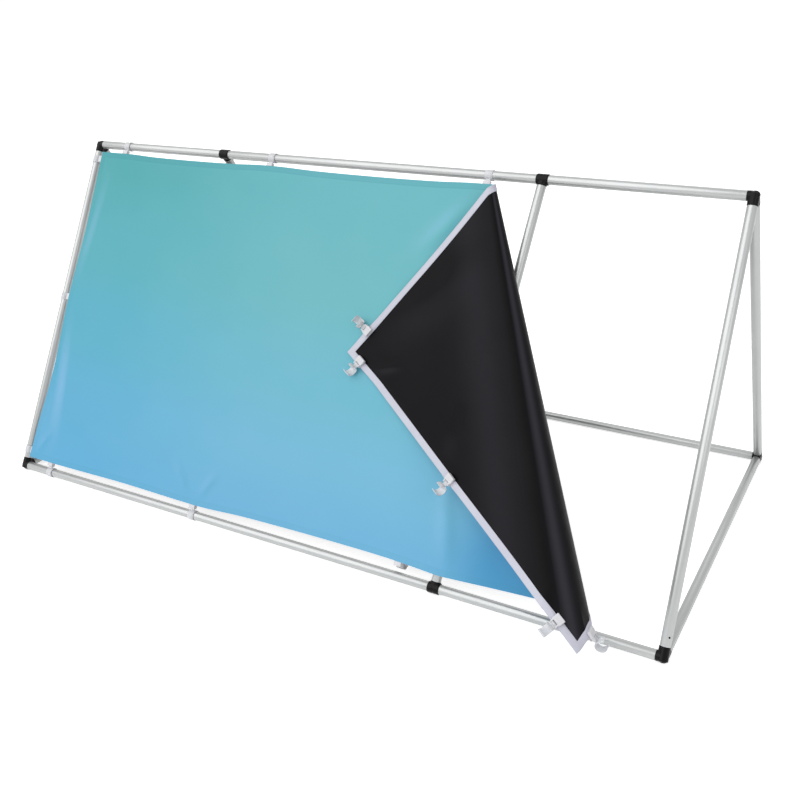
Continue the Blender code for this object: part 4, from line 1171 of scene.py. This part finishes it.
def ring_shape():
    """The open ring with its lips, neck, knuckle and trunnions, in the clip's own axes."""
    shape = bmesh.new()
    half = RING_WIDTH / 2
    outer = RING_BORE_RADIUS + RING_WALL
    section = ((-half, RING_BORE_RADIUS + 0.0003), (-half + 0.0004, RING_BORE_RADIUS),
               (half - 0.0004, RING_BORE_RADIUS), (half, RING_BORE_RADIUS + 0.0003), (half, outer - 0.0003),
               (half - 0.0005, outer), (-half + 0.0005, outer), (-half, outer - 0.0003))
    rings = []
    for step in range(RING_STEPS + 1):
        angle = -math.pi / 2 + RING_MOUTH + (2 * math.pi - 2 * RING_MOUTH) * step / RING_STEPS
        flare = RING_FLARE * max(0.0, 1.0 - min(step, RING_STEPS - step) / 4)
        outward, upward = math.cos(angle), math.sin(angle)
        rings.append([shape.verts.new((side, (radius + flare) * outward, (radius + flare) * upward))
                      for side, radius in section])
    close_rings(shape, rings)
    neck = NECK_WIDTH / 2
    rounded_block(shape, (-neck, 0.0122, 0.0055), (neck, PIVOT.y, 0.0095), 0.0008)
    across = Matrix.Translation(PIVOT) @ Matrix.Rotation(math.pi / 2, 4, "Y")
    turned(shape, ((0.0, -neck), (KNUCKLE_RADIUS - 0.0004, -neck), (KNUCKLE_RADIUS, -neck + 0.0004),
                   (KNUCKLE_RADIUS, neck - 0.0004), (KNUCKLE_RADIUS - 0.0004, neck), (0.0, neck)), 20, across)
    side = TONGUE_HALF - 0.0003
    turned(shape, ((0.0, -side), (TRUNNION_RADIUS, -side), (TRUNNION_RADIUS, side), (0.0, side)), 14, across)
    bmesh.ops.recalc_face_normals(shape, faces=shape.faces)
    return shape


def jaw_shape():
    """The jaw behind the tape, with grip ribs, its forked tongue, and the plate in the pocket."""
    shape = bmesh.new()
    half = JAW_WIDTH / 2
    rounded_block(shape, (-half, JAW_START, JAW_BACK + 0.0004), (half, JAW_END, JAW_TOP), 0.0024, 4)
    for rib in range(GRIP_RIBS):
        middle = JAW_START + RIB_START + RIB_PITCH * rib
        rounded_block(shape, (-half + RIB_INSET, middle - RIB_HALF, JAW_BACK - 0.0001),
                      (half - RIB_INSET, middle + RIB_HALF, JAW_BACK + 2 * RIB_HALF), 0.0005, 2)
    inside = NECK_WIDTH / 2 + 0.0003
    for sign in (-1.0, 1.0):
        low_x, high_x = sorted((sign * inside, sign * TONGUE_HALF))
        rounded_block(shape, (low_x, TONGUE_START, JAW_BACK + 0.0003),
                      (high_x, JAW_START + 0.004, JAW_TOP - 0.0003), 0.0009)
        rounded_block(shape, (low_x + 0.0003, TONGUE_START + 0.0001, JAW_TOP - 0.003),
                      (high_x - 0.0003, TONGUE_START + 0.0022, 0.0155), 0.0004, 2)
    rounded_block(shape, (-TONGUE_HALF, TONGUE_START, 0.01455), (TONGUE_HALF, PLATE_END, 0.01555), 0.0004, 2)
    bmesh.ops.recalc_face_normals(shape, faces=shape.faces)
    return shape


def matrix_from(x_axis, y_axis, origin):
    return Matrix.Translation(origin) @ Matrix((x_axis, y_axis, x_axis.cross(y_axis))).transposed().to_4x4()


ring_joints = {joint["child"]: joint for joint in frame["joints"]}
bore_centres = {}
for opening in frame["record"]["physics"]["openings"]:
    low_corner, high_corner = [Vector(corner) for corner in opening["box_m"]]
    bore_centres[opening["name"].removesuffix("_bore")] = (low_corner + high_corner) / 2


def swinging_clip_frame(clip, body, turn=0.0):
    """Frame of a clip whose ring swings, from its joint and the middle of the ring's bore."""
    joint = ring_joints[body]
    pivot, x_axis = Vector(joint["pos_m"]), Vector(joint["axis"]).normalized()
    arm = pivot - bore_centres[clip]
    arm = (arm - x_axis * arm.dot(x_axis)).normalized()
    lean = math.atan2(PIVOT.z, PIVOT.y) + turn
    y_axis = (Matrix.Rotation(-lean, 3, x_axis) @ arm).normalized()
    return matrix_from(x_axis, y_axis, pivot) @ Matrix.Translation(-PIVOT)


def middle_of(node_name):
    low_corner, high_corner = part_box(node_name)
    return (low_corner + high_corner) / 2


clip_frames = {}
for index in (1, 2, 3):
    name = f"top_clip_{index}"
    clip_frames[name] = matrix_from(-RIGHT, DOWN_FACE, Vector((middle_of(name + "_jaw").x, *APEX_LEFT.yz)))
    name = f"left_clip_{index}"
    down = BANNER_TOP_GAP + LEFT_CLIP_PLACES[index - 1]
    clip_frames[name] = matrix_from(DOWN_FACE, RIGHT, face_point(0.0, down))
for index in (1, 2):
    name = f"bottom_clip_{index}"
    rail = JOINTS["front_corner_left"]
    clip_frames[name] = matrix_from(RIGHT, -DOWN_FACE, Vector((middle_of(name + "_jaw").x, *rail.yz)))
clip_frames["loose_clip"] = swinging_clip_frame("loose_clip", "loose_ring", LOOSE_RING_TURN)
clip_frames["fold_clip"] = swinging_clip_frame("fold_clip", "fold_ring")
for index in (1, 2, 3, 4):
    clip_frames[f"flap_clip_{index}"] = swinging_clip_frame(f"flap_clip_{index}", f"flap_ring_{index}")

ring_master, jaw_master = ring_shape(), jaw_shape()


def clip_piece(name, master, place, material, body, slot_name, node_name):
    shape = master.copy()
    shape.transform(place)
    finish_piece(smooth(object_from(name, shape, material), 45.0), body, slot_name, node_name)


for clip, place in clip_frames.items():
    jaw_body, ring_body = "frame", "frame"
    if clip == "loose_clip":
        ring_body = "loose_ring"
    elif clip == "fold_clip":
        jaw_body, ring_body = "fold_strip", "fold_ring"
    elif clip.startswith("flap_clip"):
        jaw_body, ring_body = "flap", clip.replace("clip", "ring")
    turn = LOOSE_RING_TURN if clip == "loose_clip" else 0.0
    swing = Matrix.Translation(PIVOT) @ Matrix.Rotation(turn, 4, "X") @ Matrix.Translation(-PIVOT)
    clip_piece(clip + "_ring_frosted", ring_master, place @ swing, ring_material, ring_body, "clip_ring",
               clip + "_ring")
    clip_piece(clip + "_jaw_white", jaw_master, place, jaw_material, jaw_body, "clip_jaw", clip + "_jaw")
ring_master.free()
jaw_master.free()
